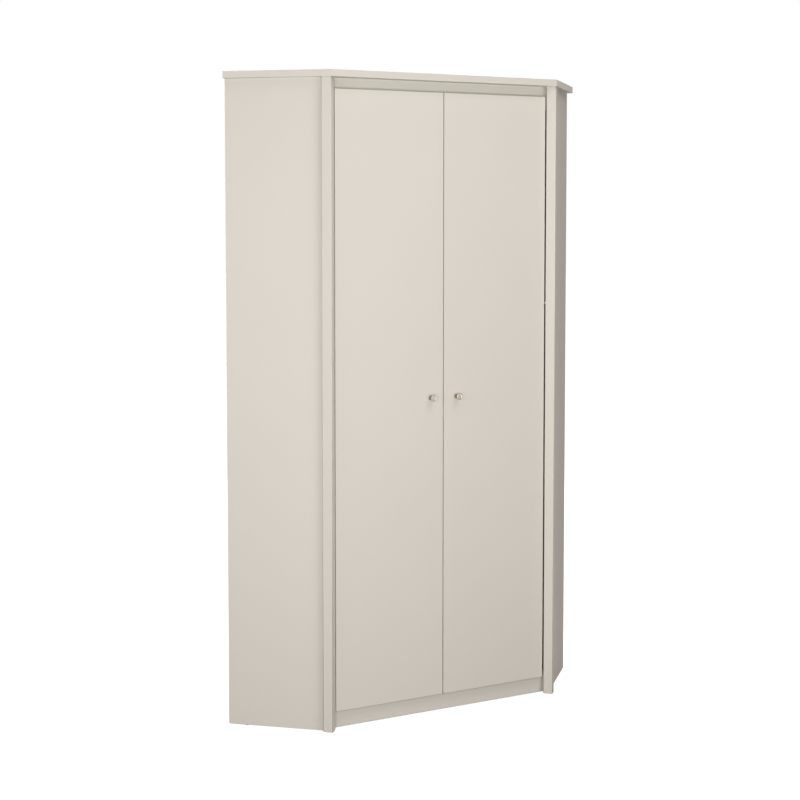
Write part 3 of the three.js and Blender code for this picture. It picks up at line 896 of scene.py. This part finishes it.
# The clothes rail is a chromed steel tube, 25 mm across. Two die-cast brackets, screwed up into the hat
# shelf, hold its ends in their collars.
chrome_colour = "#dcdee0"
rail_wall = 0.0012
rail_lip = 0.0003  # the deburred rim at its ends
tube_sides = 96
draw_mark = 0.0008
draw_length = 0.125

chromed, chrome_tree, chrome_output = new_material("bright_chrome")
# Bright chrome on drawn tube mirrors the case sharply, with the slightest streaks along the tube.
chrome_point = add_node(chrome_tree, "ShaderNodeTexCoord")
chrome_stretch = add_node(chrome_tree, "ShaderNodeMapping", None, {
    "Vector": chrome_point.outputs["Object"],
    "Scale": (1 / draw_length, 1 / draw_mark, 1 / draw_mark),
})
chrome_streaks = add_node(chrome_tree, "ShaderNodeTexNoise", None, {
    "Vector": chrome_stretch.outputs[0], "Scale": 1.0, "Detail": 2.0,
})
chrome_gloss = add_node(chrome_tree, "ShaderNodeMapRange", None, {
    "Value": chrome_streaks.outputs[0], **noise_span, "To Min": 0.05, "To Max": 0.11,
})
chrome_shader = add_node(chrome_tree, "ShaderNodeBsdfPrincipled", None, {
    "Base Color": linear(chrome_colour), "Metallic": 1.0, "Roughness": chrome_gloss.outputs[0],
})
chrome_tree.links.new(chrome_shader.outputs[0], chrome_output.inputs["Surface"])

low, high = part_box("hanging_rail")
rail_middle = midway(low, high)
rail_radius = (high.z - low.z) / 2
rail_half = (high.x - low.x) / 2
tube_section = softened([
    (rail_radius - rail_wall, -rail_half),
    (rail_radius, -rail_half),
    (rail_radius, rail_half),
    (rail_radius - rail_wall, rail_half),
], rail_lip, closed=True)
tube = turned(tube_section + tube_section[:1], tube_sides)
crisp(tube, angle=math.radians(60))
onto_rail = Matrix.Translation((0.0, rail_middle.y, rail_middle.z)) @ Matrix.Rotation(math.pi / 2, 4, "Y")
tube.transform(onto_rail)
fit(finished(tube, "hanging_rail_tube", chromed), "case", "chromed_tube", "hanging_rail")

cast_colour = "#b4b3b0"
cast_grain = 0.0009

cast_zinc, cast_tree, cast_output = new_material("nickel_plated_zinc")
# Die-cast zinc under nickel is softly bright, with the faint grain of the tumbled casting.
cast_point = add_node(cast_tree, "ShaderNodeTexCoord")
cast_noise = add_node(cast_tree, "ShaderNodeTexNoise", None, {
    "Vector": cast_point.outputs["Object"], "Scale": 1 / cast_grain, "Detail": 3.0,
})
cast_gloss = add_node(cast_tree, "ShaderNodeMapRange", None, {
    "Value": cast_noise.outputs[0], **noise_span, "To Min": 0.26, "To Max": 0.38,
})
cast_bump = add_node(cast_tree, "ShaderNodeBump", None, {
    "Height": cast_noise.outputs[0], "Distance": 0.00002, "Strength": 0.5,
})
cast_shader = add_node(cast_tree, "ShaderNodeBsdfPrincipled", None, {
    "Base Color": linear(cast_colour),
    "Metallic": 1.0,
    "Roughness": cast_gloss.outputs[0],
    "Normal": cast_bump.outputs[0],
})
cast_tree.links.new(cast_shader.outputs[0], cast_output.inputs["Surface"])


cheek_thickness = 0.003
cheek_bite = 0.001  # the cheek's upper end in the foot
foot_corner = 0.007
casting_fillet = 0.0006
collar_gap = 0.0003
collar_length = 0.012
collar_sides = 64
foot_screw = 0.015
swung_up = Matrix(((0, 0, 1, 0), (1, 0, 0, 0), (0, 1, 0, 0), (0, 0, 0, 1)))  # an upright prism, laid along X


def arc(steps, quarters=2, first=0):
    """The angles of a round that runs over this many quarter turns."""
    return [math.pi / 2 * (first + quarters * k / steps) for k in range(steps + 1)]


for side in ("left", "right"):
    node_name = "rail_bracket_" + side
    low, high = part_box("rail_bracket_left")
    collar_radius = rail_middle.z - low.z
    foot = block((low.x, low.y, high.z - cheek_thickness), high)
    eased(foot, foot_corner, standing_edges(foot), segments=8)
    eased(foot, casting_fillet, square_edges(foot))
    crisp(foot)
    cheek_top = high.z - cheek_bite
    cheek_outline = [
        (rail_middle.y + collar_radius, cheek_top),
        (rail_middle.y - collar_radius, cheek_top),
    ]
    cheek_outline += [
        (rail_middle.y - collar_radius * math.cos(turn), rail_middle.z - collar_radius * math.sin(turn))
        for turn in arc(32)
    ]
    cheek = upright(cheek_outline, low.x, low.x + cheek_thickness)
    eased(cheek, casting_fillet, square_edges(cheek))
    cheek.transform(swung_up)
    bore = rail_radius + collar_gap
    collar_start = low.x + cheek_thickness / 2
    collar_end = collar_length - rail_half
    collar_section = softened([
        (bore, collar_start),
        (collar_radius, collar_start),
        (collar_radius, collar_end),
        (bore, collar_end),
    ], casting_fillet, closed=True)
    collar = turned(collar_section + collar_section[:1], collar_sides)
    crisp(collar, angle=math.radians(60))
    collar.transform(onto_rail)
    casting = together(foot, cheek, collar)
    casting.transform(mirror[side])
    fit(finished(casting, node_name + "_cast", cast_zinc), "case", "plated_steel", node_name)
    foot_middle = (low.x + high.x) / 2
    for way in (-1, 1):
        spot = Vector((foot_middle, rail_middle.y + way * foot_screw, high.z - cheek_thickness))
        screw_places["case"].append((mirror[side] @ spot, downward))


# Each door is one faced board with edging all round. Four blind holes for the hinge cups are bored into its
# back near the outer edge, and one hole goes right through for the knob's screw.
hinge_count = 4
cup_play = 0.0003  # between a cup and its hole
cup_radius = 0.0175
screw_bore = 0.0023
bit_margin = 0.001  # the drill starts this far off the board

pin_axis = {joint["child"]: Vector(joint["pos_m"]) for joint in frame["joints"]}
left_pin = pin_axis["left_leaf"]
cup_low, cup_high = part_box("hinge_cup_left_1")
door_low, door_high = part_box("door_left")
cup_centre = (cup_low.x + cup_high.x) / 2
flange_radius = (cup_high.x - cup_low.x) / 2
knob_low, knob_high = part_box("knob_left")
knob_axis = midway(knob_low, knob_high)
cup_bore = cup_radius + cup_play
cup_floor = cup_low.y - cup_play
cup_depth = door_high.y + bit_margin - cup_floor
through = door_high.y - door_low.y + 2 * bit_margin
sideways = Vector((1.0, 0.0, 0.0))
hinge_heights = []
for i in range(hinge_count):
    low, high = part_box(f"hinge_arm_left_{i + 1}")
    hinge_heights.append((low.z + high.z) / 2)

for side in ("left", "right"):
    node_name = "door_" + side
    bits = []
    for height in hinge_heights:
        bit = turned([(0.0, 0.0), (cup_bore, 0.0), (cup_bore, cup_depth), (0.0, cup_depth)])
        bit.transform(mirror[side] @ Matrix.Translation((cup_centre, cup_floor, height)) @ along_y)
        bits.append(bit)
    bit = turned([(0.0, 0.0), (screw_bore, 0.0), (screw_bore, through), (0.0, through)], slim_sides)
    bit_start = Vector((knob_axis.x, door_low.y - bit_margin, knob_axis.z))
    bit.transform(mirror[side] @ Matrix.Translation(bit_start) @ along_y)
    bits.append(bit)
    door = drilled(board(node_name, downward, -downward, sideways, -sideways), *bits)
    fit(door, side + "_leaf", "melamine_board", node_name)


# The doors hang on concealed hinges of bright plated steel. A deep-drawn cup with a flange and two ears sits
# in the door. A cranked arm runs from the pin in the cup to a stamped plate on the side panel.
cup_wall = 0.0008
cup_sides = 64
flange_steel = 0.0012
lip_fillet = 0.0004
ear_radius = 0.007
ear_reach = 0.024
ear_arris = 0.0003
ear_bite = 0.0004  # the ear's root inside the flange
pin_radius = 0.00125
spring_gap = 0.0004  # between the arm and the spring on each side of it
spring_pitch = 0.0011
spring_coils = 4
spring_outline = ((0.2, 0.0023), (0.7, 0.0023), (0.95, 0.0018))  # one coil: shares of the pitch, and radii
spring_round = 0.0004
spring_sides = 32
arm_arris = 0.0004
arm_screw_rise = 0.0011  # the CAD arm ends at its screw's head, and its steel this far below
cheek_depth = 0.0065
cheek_steel = 0.0012
cheek_inset = 0.001  # from the ridge's end to the cheek's
plate_steel = 0.002
plate_screw_reach = 0.016
flap_radius = 0.0065
flap_half = 0.008
flap_arris = 0.0004
ridge_sink = 0.0003  # the ridge's foot is this far off the panel, inside the flaps' steel
ridge_fillet = 0.0009

column_tree = bpy.data.node_groups.new("hinge_column", "GeometryNodeTree")
for name, kind in (
    ("Hinge Part", "NodeSocketGeometry"),
    ("Count", "NodeSocketInt"),
    ("First Height", "NodeSocketFloat"),
    ("Spacing", "NodeSocketFloat"),
    ("Finish", "NodeSocketMaterial"),
):
    column_tree.interface.new_socket(name, in_out="INPUT", socket_type=kind)
column_tree.interface.new_socket("Column", in_out="OUTPUT", socket_type="NodeSocketGeometry")
column_in = add_node(column_tree, "NodeGroupInput").outputs
column_first = add_node(column_tree, "ShaderNodeCombineXYZ", None, {"Z": column_in["First Height"]})
column_step = add_node(column_tree, "ShaderNodeCombineXYZ", None, {"Z": column_in["Spacing"]})
column_line = add_node(column_tree, "GeometryNodeMeshLine", {"mode": "OFFSET"}, {
    "Count": column_in["Count"],
    "Start Location": column_first.outputs[0],
    "Offset": column_step.outputs[0],
})
column_parts = add_node(column_tree, "GeometryNodeInstanceOnPoints", None, {
    "Points": column_line.outputs[0], "Instance": column_in["Hinge Part"],
})
column_real = add_node(column_tree, "GeometryNodeRealizeInstances", None, {
    "Geometry": column_parts.outputs[0],
})
column_finish = add_node(column_tree, "GeometryNodeSetMaterial", None, {
    "Geometry": column_real.outputs[0], "Material": column_in["Finish"],
})
add_node(column_tree, "NodeGroupOutput", None, {"Column": column_finish.outputs[0]})


def grown(start, tree, **inputs):
    """The plain mesh that a Geometry Nodes tree makes of a piece with these inputs, in the piece's place."""
    maker = start.modifiers.new(tree.name, "NODES")
    maker.node_group = tree
    for socket in tree.interface.items_tree:
        name = socket.name.lower().replace(" ", "_")
        if socket.in_out == "INPUT" and name in inputs:
            maker[socket.identifier] = inputs[name]
    seen = start.evaluated_get(bpy.context.evaluated_depsgraph_get())
    before = start.data
    start.data = bpy.data.meshes.new_from_object(seen)
    start.data.name = start.name
    start.modifiers.clear()
    bpy.data.meshes.remove(before)
    return start


flange_back = door_high.y + flange_steel
plate_low, plate_high = wing_box("hinge_plate_left_1")
arm_low, arm_high = wing_box("hinge_arm_left_1")
arm_half = (arm_high.z - arm_low.z) / 2
arm_face = arm_high.y - arm_screw_rise


def hinge_cup():
    """A cup with its ears, its springs and its pin, for the left door."""
    shell = turned(softened([
        (0.0, cup_low.y),
        (cup_radius, cup_low.y),
        (cup_radius, door_high.y),
        (flange_radius, door_high.y),
        (flange_radius, flange_back),
        (cup_radius - cup_wall, flange_back),
        (cup_radius - cup_wall, cup_low.y + cup_wall),
        (0.0, cup_low.y + cup_wall),
    ], lip_fillet), cup_sides)
    crisp(shell, angle=math.radians(50))
    to_cup = Matrix.Translation((cup_centre, 0.0, 0.0))
    to_pin = Matrix.Translation((left_pin.x, left_pin.y, 0.0))
    shell.transform(to_cup @ along_y)
    ear_start = math.sqrt(flange_radius**2 - ear_radius**2) - ear_bite
    coil_start = arm_half + spring_gap
    rest = []
    for way in (-1, 1):
        outline = [(-ear_radius, way * ear_start), (ear_radius, way * ear_start)]
        outline += [
            (ear_radius * math.cos(turn), way * (ear_reach + ear_radius * math.sin(turn)))
            for turn in arc(16)
        ]
        ear = upright(outline, door_high.y, flange_back)
        eased(ear, ear_arris, square_edges(ear))
        crisp(ear)
        ear.transform(to_cup @ upended)
        coils = [(pin_radius, way * coil_start)]
        for turn in range(spring_coils):
            for share, radius in spring_outline:
                coils.append((radius, way * (coil_start + (turn + share) * spring_pitch)))
        coils.append((pin_radius, coils[-1][1]))
        spring = turned(softened(coils, spring_round, steps=3) + [coils[0]], spring_sides)
        crisp(spring, angle=math.radians(60))
        spring.transform(to_pin)
        rest += [ear, spring]
    half_chord = math.sqrt((cup_radius - cup_wall / 2) ** 2 - (cup_centre - left_pin.x) ** 2)
    pin = turned([
        (0.0, -half_chord),
        (pin_radius, -half_chord),
        (pin_radius, half_chord),
        (0.0, half_chord),
    ], slim_sides)
    crisp(pin)
    pin.transform(to_pin)
    return together(shell, *rest, pin)


def hinge_arm():
    """A cranked arm from the pin to the plate, with cheeks that straddle the plate, for the left door."""
    blade = upright(plan_outline("hinge_arm_left_1"), -arm_half, arm_half)
    crisp(blade, angle=math.radians(30))
    eased(blade, arm_arris, square_edges(blade))
    bmesh.ops.remove_doubles(blade, verts=blade.verts, dist=1e-6)  # where two roundings end in one line
    cheeks = []
    for way in (-1, 1):
        near, far = sorted((way * arm_half, way * (arm_half + cheek_steel)))
        cheek_low = (plate_low.x + cheek_inset, arm_face - cheek_depth, near)
        cheek_high = (plate_high.x - cheek_inset, arm_face, far)
        cheek = block(cheek_low, cheek_high)
        eased(cheek, arm_arris)
        crisp(cheek)
        cheek.transform(wing_left)
        cheeks.append(cheek)
    return together(blade, *cheeks)


def hinge_plate():
    """A stamped plate with two round-ended flaps and a ridge that carries the arm, for the left panel."""
    middle = midway(plate_low, plate_high)
    flap_reach = (plate_high.z - plate_low.z) / 2
    outline = []
    for quarter, (across, along) in enumerate(((1, 1), (-1, 1), (-1, -1), (1, -1))):
        for turn in arc(8, quarters=1, first=quarter):
            outline.append((
                middle.x + across * (flap_half - flap_radius) + flap_radius * math.cos(turn),
                along * (flap_reach - flap_radius) + flap_radius * math.sin(turn),
            ))
    flaps = upright(outline, plate_low.y, plate_low.y + plate_steel)
    eased(flaps, flap_arris, square_edges(flaps))
    crisp(flaps)
    flaps.transform(upended)
    ridge_low = (plate_low.x, plate_low.y + ridge_sink, -arm_half)
    ridge_high = (plate_high.x, plate_high.y, arm_half)
    ridge = block(ridge_low, ridge_high)
    eased(ridge, ridge_fillet, segments=3)
    plate = together(flaps, ridge)
    plate.transform(wing_left)
    return plate


hinge_spacing = (hinge_heights[-1] - hinge_heights[0]) / (hinge_count - 1)
fixing = midway(plate_low, plate_high).x

for side in ("left", "right"):
    hinge_parts = (
        ("cup", hinge_cup(), side + "_leaf"),
        ("arm", hinge_arm(), "case"),
        ("plate", hinge_plate(), "case"),
    )
    for what, part, body in hinge_parts:
        part.transform(mirror[side])
        column = grown(
            finished(part, f"hinge_{what}s_{side}"), column_tree,
            count=hinge_count, first_height=hinge_heights[0], spacing=hinge_spacing, finish=plated,
        )
        column_nodes = [f"hinge_{what}_{side}_{i + 1}" for i in range(hinge_count)]
        fit(column, body, "plated_steel", *column_nodes)
    off_panel = wing[side].to_3x3() @ Vector((0, 1, 0))
    for height in hinge_heights:
        for way in (-1, 1):
            spot = Vector((cup_centre, flange_back, height + way * ear_reach))
            screw_places[side + "_leaf"].append((mirror[side] @ spot, -frontward))
            spot = Vector((fixing, plate_low.y + plate_steel, height + way * plate_screw_reach))
            screw_places["case"].append((wing[side] @ spot, off_panel))
        spot = Vector((fixing, arm_face, height))
        screw_places["case"].append((wing[side] @ spot, off_panel))


# The knobs are turned from brass bar and satin nickel plated. Each has a narrow neck, a flared head and a
# slightly dished face, and is drawn against the door by a screw from behind.
nickel_colour = "#a09a8f"
turning_pitch = 0.0004  # the tool's rings are half as coarse, and are drawn to show
knob_sides = 96
knob_fillet = 0.0016

nickel, nickel_tree, nickel_output = new_material("satin_nickel")
# Satin nickel is warm and softly bright, and the fine rings of the turning tool spread each highlight.
nickel_wrap = add_node(nickel_tree, "ShaderNodeUVMap", {"uv_map": "turning"})
nickel_way = add_node(nickel_tree, "ShaderNodeSeparateXYZ", None, {0: nickel_wrap.outputs[0]})
nickel_rings = add_node(nickel_tree, "ShaderNodeTexNoise", {"noise_dimensions": "1D"}, {
    "W": nickel_way.outputs["Y"], "Scale": 1 / turning_pitch, "Detail": 2.0,
})
nickel_gloss = add_node(nickel_tree, "ShaderNodeMapRange", None, {
    "Value": nickel_rings.outputs[0], **noise_span, "To Min": 0.28, "To Max": 0.40,
})
nickel_bump = add_node(nickel_tree, "ShaderNodeBump", None, {
    "Height": nickel_rings.outputs[0], "Distance": 0.00001, "Strength": 0.5,
})
nickel_shader = add_node(nickel_tree, "ShaderNodeBsdfPrincipled", None, {
    "Base Color": linear(nickel_colour),
    "Metallic": 1.0,
    "Roughness": nickel_gloss.outputs[0],
    "Normal": nickel_bump.outputs[0],
})
nickel_tree.links.new(nickel_shader.outputs[0], nickel_output.inputs["Surface"])

knob_radius = (knob_high.x - knob_low.x) / 2
knob_length = knob_high.y - knob_low.y
knob_profile = softened([  # radii and heights over the door, along the neck, the flare and the dished face
    (0.0, 0.0),
    (0.0080, 0.0),
    (0.0080, 0.0022),
    (0.0065, 0.0060),
    (0.0066, 0.0110),
    (0.0088, 0.0168),
    (knob_radius, 0.0188),
    (knob_radius, knob_length - 0.0018),
    (knob_radius - 0.0022, knob_length),
    (knob_radius - 0.0042, knob_length - 0.0009),
    (0.0030, knob_length - 0.0010),
    (0.0, knob_length - 0.0010),
], knob_fillet, steps=6)
knob_screw_radius = 0.002
knob_screw_tip = -0.010  # in the knob, before the door's front
knob_screw_head = 0.0164  # behind the door's front, inside the screw's domed head
toward_front = Matrix.Rotation(math.pi / 2, 4, "X")  # a turned shape from the Z axis to the way doors face
knob_seat = Matrix.Translation((knob_axis.x, door_low.y, knob_axis.z))

for side in ("left", "right"):
    knob = turned(knob_profile, knob_sides)
    crisp(knob, angle=math.radians(50))
    knob.transform(mirror[side] @ knob_seat @ toward_front)
    fit(finished(knob, f"knob_{side}_turned", nickel), side + "_leaf", "satin_nickel", "knob_" + side)
    shank = turned([
        (0.0, knob_screw_tip),
        (knob_screw_radius, knob_screw_tip),
        (knob_screw_radius, knob_screw_head),
        (0.0, knob_screw_head),
    ], slim_sides)
    crisp(shank)
    shank.transform(mirror[side] @ knob_seat @ along_y)
    node_name = "knob_screw_" + side
    fit(finished(shank, node_name + "_shank", plated), side + "_leaf", "plated_steel", node_name)
    spot = Vector((knob_axis.x, door_high.y, knob_axis.z))
    screw_places[side + "_leaf"].append((mirror[side] @ spot, -frontward))


# Two clear domed buffers of soft plastic are stuck to the frieze rail, so that the doors shut softly.
# They are cast in drops, with a flat back that carries the glue.
buffer_colour = "#eeeeea"
buffer_clouds = 600.0  # faint clouds to a metre of the plastic
buffer_rim = 0.3  # the share of its height that rises straight

clear_plastic, clear_tree, clear_output = new_material("clear_polyurethane")
# Cast polyurethane is clear and faintly milky, and its dome gathers the light to a soft point.
clear_point = add_node(clear_tree, "ShaderNodeTexCoord")
clear_haze = add_node(clear_tree, "ShaderNodeTexNoise", None, {
    "Vector": clear_point.outputs["Object"], "Scale": buffer_clouds, "Detail": 2.0,
})
clear_gloss = add_node(clear_tree, "ShaderNodeMapRange", None, {
    "Value": clear_haze.outputs[0], "To Min": 0.12, "To Max": 0.24,
})
clear_shader = add_node(clear_tree, "ShaderNodeBsdfPrincipled", None, {
    "Base Color": linear(buffer_colour),
    "Roughness": clear_gloss.outputs[0],
    "IOR": 1.49,
    "Transmission Weight": 0.85,
})
clear_tree.links.new(clear_shader.outputs[0], clear_output.inputs["Surface"])

low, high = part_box("door_buffer_left")
middle = midway(low, high)
dome_radius = (high.x - low.x) / 2
dome_height = high.y - low.y
dome_rim = buffer_rim * dome_height
dome_profile = [(0.0, 0.0), (dome_radius, 0.0)]
dome_profile += [
    (dome_radius * math.cos(turn), dome_rim + (dome_height - dome_rim) * math.sin(turn))
    for turn in arc(10, quarters=1)[:-1]
]
dome_profile.append((0.0, dome_height))
dome_seat = Matrix.Translation((middle.x, high.y, middle.z))

for side in ("left", "right"):
    node_name = "door_buffer_" + side
    dome = turned(dome_profile)
    crisp(dome)
    dome.transform(mirror[side] @ dome_seat @ toward_front)
    fit(finished(dome, node_name + "_dome", clear_plastic), "case", "clear_plastic", node_name)


# Pan-head screws with crossed recesses hold every fitting, and are left a little turned, each its own way.
# Flat-headed nails hold the thin backs, and pressed-in plastic caps hide the cams inside the case.
head_radius = 0.004
head_height = 0.0022
recess_width = 0.0008
head_rings = 12
recess_length = 1.15  # of each bar of the cross, in head radii
twist_seed = 7  # for the way that each screw was left turned
cut_span = 4.0  # of the block that cuts a ball off flat, in head sizes

heads_tree = bpy.data.node_groups.new("domed_heads", "GeometryNodeTree")
for name, kind in (
    ("Places", "NodeSocketGeometry"),
    ("Head Radius", "NodeSocketFloat"),
    ("Head Height", "NodeSocketFloat"),
    ("Recess Width", "NodeSocketFloat"),
    ("Sides", "NodeSocketInt"),
    ("Seed", "NodeSocketInt"),
    ("Finish", "NodeSocketMaterial"),
):
    heads_tree.interface.new_socket(name, in_out="INPUT", socket_type=kind)
heads_tree.interface.new_socket("Heads", in_out="OUTPUT", socket_type="NodeSocketGeometry")
heads_in = add_node(heads_tree, "NodeGroupInput").outputs
# The dome is the upper part of a ball, pressed to the head's height and cut off flat below.
heads_size = add_node(heads_tree, "ShaderNodeCombineXYZ", None, {
    "X": heads_in["Head Radius"], "Y": heads_in["Head Radius"], "Z": heads_in["Head Height"],
})
heads_ball = add_node(heads_tree, "GeometryNodeMeshUVSphere", None, {
    "Segments": heads_in["Sides"], "Rings": head_rings, "Radius": 1.0,
})
heads_pressed = add_node(heads_tree, "GeometryNodeTransform", None, {
    "Geometry": heads_ball.outputs[0], "Scale": heads_size.outputs[0],
})
heads_reach = add_node(heads_tree, "ShaderNodeVectorMath", {"operation": "SCALE"}, {
    0: heads_size.outputs[0], "Scale": cut_span,
})
heads_below = add_node(heads_tree, "GeometryNodeMeshCube", None, {"Size": heads_reach.outputs[0]})
heads_sunk = add_node(heads_tree, "ShaderNodeMath", {"operation": "MULTIPLY"}, {
    0: heads_in["Head Height"], 1: -cut_span / 2,
})
heads_sink = add_node(heads_tree, "ShaderNodeCombineXYZ", None, {"Z": heads_sunk.outputs[0]})
heads_under = add_node(heads_tree, "GeometryNodeTransform", None, {
    "Geometry": heads_below.outputs[0], "Translation": heads_sink.outputs[0],
})
cut_away = {"operation": "DIFFERENCE", "solver": "EXACT"}
heads_dome = add_node(heads_tree, "GeometryNodeMeshBoolean", cut_away, {
    "Mesh 1": heads_pressed.outputs[0], "Mesh 2": heads_under.outputs[0],
})
# The recess is a cross of two bars that reach into the dome from above.
heads_long = add_node(heads_tree, "ShaderNodeMath", {"operation": "MULTIPLY"}, {
    0: heads_in["Head Radius"], 1: recess_length,
})
heads_bar_size = add_node(heads_tree, "ShaderNodeCombineXYZ", None, {
    "X": heads_long.outputs[0], "Y": heads_in["Recess Width"], "Z": heads_in["Head Height"],
})
heads_bar = add_node(heads_tree, "GeometryNodeMeshCube", None, {"Size": heads_bar_size.outputs[0]})
heads_raise = add_node(heads_tree, "ShaderNodeCombineXYZ", None, {"Z": heads_in["Head Height"]})
heads_first = add_node(heads_tree, "GeometryNodeTransform", None, {
    "Geometry": heads_bar.outputs[0], "Translation": heads_raise.outputs[0],
})
heads_second = add_node(heads_tree, "GeometryNodeTransform", None, {
    "Geometry": heads_first.outputs[0], "Rotation": (0.0, 0.0, math.pi / 2),
})
heads_slotted = add_node(heads_tree, "GeometryNodeMeshBoolean", cut_away, {
    "Mesh 1": heads_dome.outputs[0], "Mesh 2": heads_first.outputs[0],
})
heads_crossed = add_node(heads_tree, "GeometryNodeMeshBoolean", cut_away, {
    "Mesh 1": heads_slotted.outputs[0], "Mesh 2": heads_second.outputs[0],
})
heads_has_recess = add_node(heads_tree, "FunctionNodeCompare", {"operation": "GREATER_THAN"}, {
    0: heads_in["Recess Width"], 1: 0.0,
})
heads_head = add_node(heads_tree, "GeometryNodeSwitch", {"input_type": "GEOMETRY"}, {
    "Switch": heads_has_recess.outputs[0],
    "False": heads_dome.outputs[0],
    "True": heads_crossed.outputs[0],
})
heads_facing = add_node(heads_tree, "GeometryNodeInputNamedAttribute", {"data_type": "FLOAT_VECTOR"}, {
    "Name": "facing",
})
heads_stand = add_node(heads_tree, "FunctionNodeAlignRotationToVector", {"axis": "Z"}, {
    "Vector": heads_facing.outputs[0],
})
heads_twist = add_node(heads_tree, "FunctionNodeRandomValue", {"data_type": "FLOAT"}, {
    "Max": 2 * math.pi, "Seed": heads_in["Seed"],
})
heads_twist_way = add_node(heads_tree, "ShaderNodeCombineXYZ", None, {"Z": heads_twist.outputs["Value"]})
heads_turned = add_node(heads_tree, "FunctionNodeRotateRotation", {"rotation_space": "LOCAL"}, {
    "Rotation": heads_stand.outputs[0], "Rotate By": heads_twist_way.outputs[0],
})
heads_all = add_node(heads_tree, "GeometryNodeInstanceOnPoints", None, {
    "Points": heads_in["Places"],
    "Instance": heads_head.outputs[0],
    "Rotation": heads_turned.outputs[0],
})
heads_real = add_node(heads_tree, "GeometryNodeRealizeInstances", None, {"Geometry": heads_all.outputs[0]})
heads_finish = add_node(heads_tree, "GeometryNodeSetMaterial", None, {
    "Geometry": heads_real.outputs[0], "Material": heads_in["Finish"],
})
add_node(heads_tree, "NodeGroupOutput", None, {"Heads": heads_finish.outputs[0]})


def heads(name, places, radius, height, recess, sides, finish):
    """One piece with a head at each place, which faces its own way."""
    data = bpy.data.meshes.new(name)
    data.from_pydata([tuple(spot) for spot, facing in places], [], [])
    ways = data.attributes.new("facing", "FLOAT_VECTOR", "POINT")
    for i, (spot, facing) in enumerate(places):
        ways.data[i].vector = facing
    return grown(
        place(data, name), heads_tree, head_radius=radius, head_height=height, recess_width=recess,
        sides=sides, seed=twist_seed, finish=finish,
    )


screw_sides = 20

for body, places in screw_places.items():
    screws = heads(f"screws_{body}", places, head_radius, head_height, recess_width, screw_sides, plated)
    fit(screws, body, "plated_steel")

nail_radius = 0.0016
nail_height = 0.0005
nail_sides = 10
nail_spacing = 0.11
nail_lines = {  # from a line's first nail to its last: metres along the wall, and up
    "side panel": ((0.032, 0.090), (0.032, 2.060)),
    "corner post": ((0.950, 0.090), (0.950, 2.060)),
    "bottom board": ((0.080, 0.069), (0.900, 0.069)),
    "hat shelf": ((0.080, 1.735), (0.900, 1.735)),
}
nail_places = []
for side in ("left", "right"):
    wallward = wing[side].to_3x3() @ Vector((-1, 0, 0))
    for (along_from, low_end), (along_to, high_end) in nail_lines.values():
        line = math.hypot(along_to - along_from, high_end - low_end)
        count = round(line / nail_spacing)
        for k in range(count + 1):
            along = along_from + (along_to - along_from) * k / count
            height = low_end + (high_end - low_end) * k / count
            nail_places.append((wing[side] @ Vector((0.0, along, height)), wallward))
nails = heads("nails_case", nail_places, nail_radius, nail_height, 0.0, nail_sides, plated)
fit(nails, "case", "plated_steel")

cap_radius = 0.0085
cap_height = 0.0012
cap_sides = 28
cap_out = (0.060, 0.240)  # metres along a side panel from the wall to its two caps
cap_drop = 0.034  # under the top
cap_inset = 0.050  # from a rail's end
cap_places = []
panel_high = wing_box("side_panel_left")[1]
for side in ("left", "right"):
    off_panel = wing[side].to_3x3() @ Vector((0, 1, 0))
    for out in cap_out:
        spot = Vector((out, panel_high.y, panel_high.z - cap_drop))
        cap_places.append((wing[side] @ spot, off_panel))
    for rail in ("frieze_rail", "plinth_rail"):
        low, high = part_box(rail)
        spot = Vector((low.x + cap_inset, high.y, (low.z + high.z) / 2))
        cap_places.append((mirror[side] @ spot, -frontward))
caps = heads("cam_caps_case", cap_places, cap_radius, cap_height, 0.0, cap_sides, glide_plastic)
fit(caps, "case", "glide_plastic")
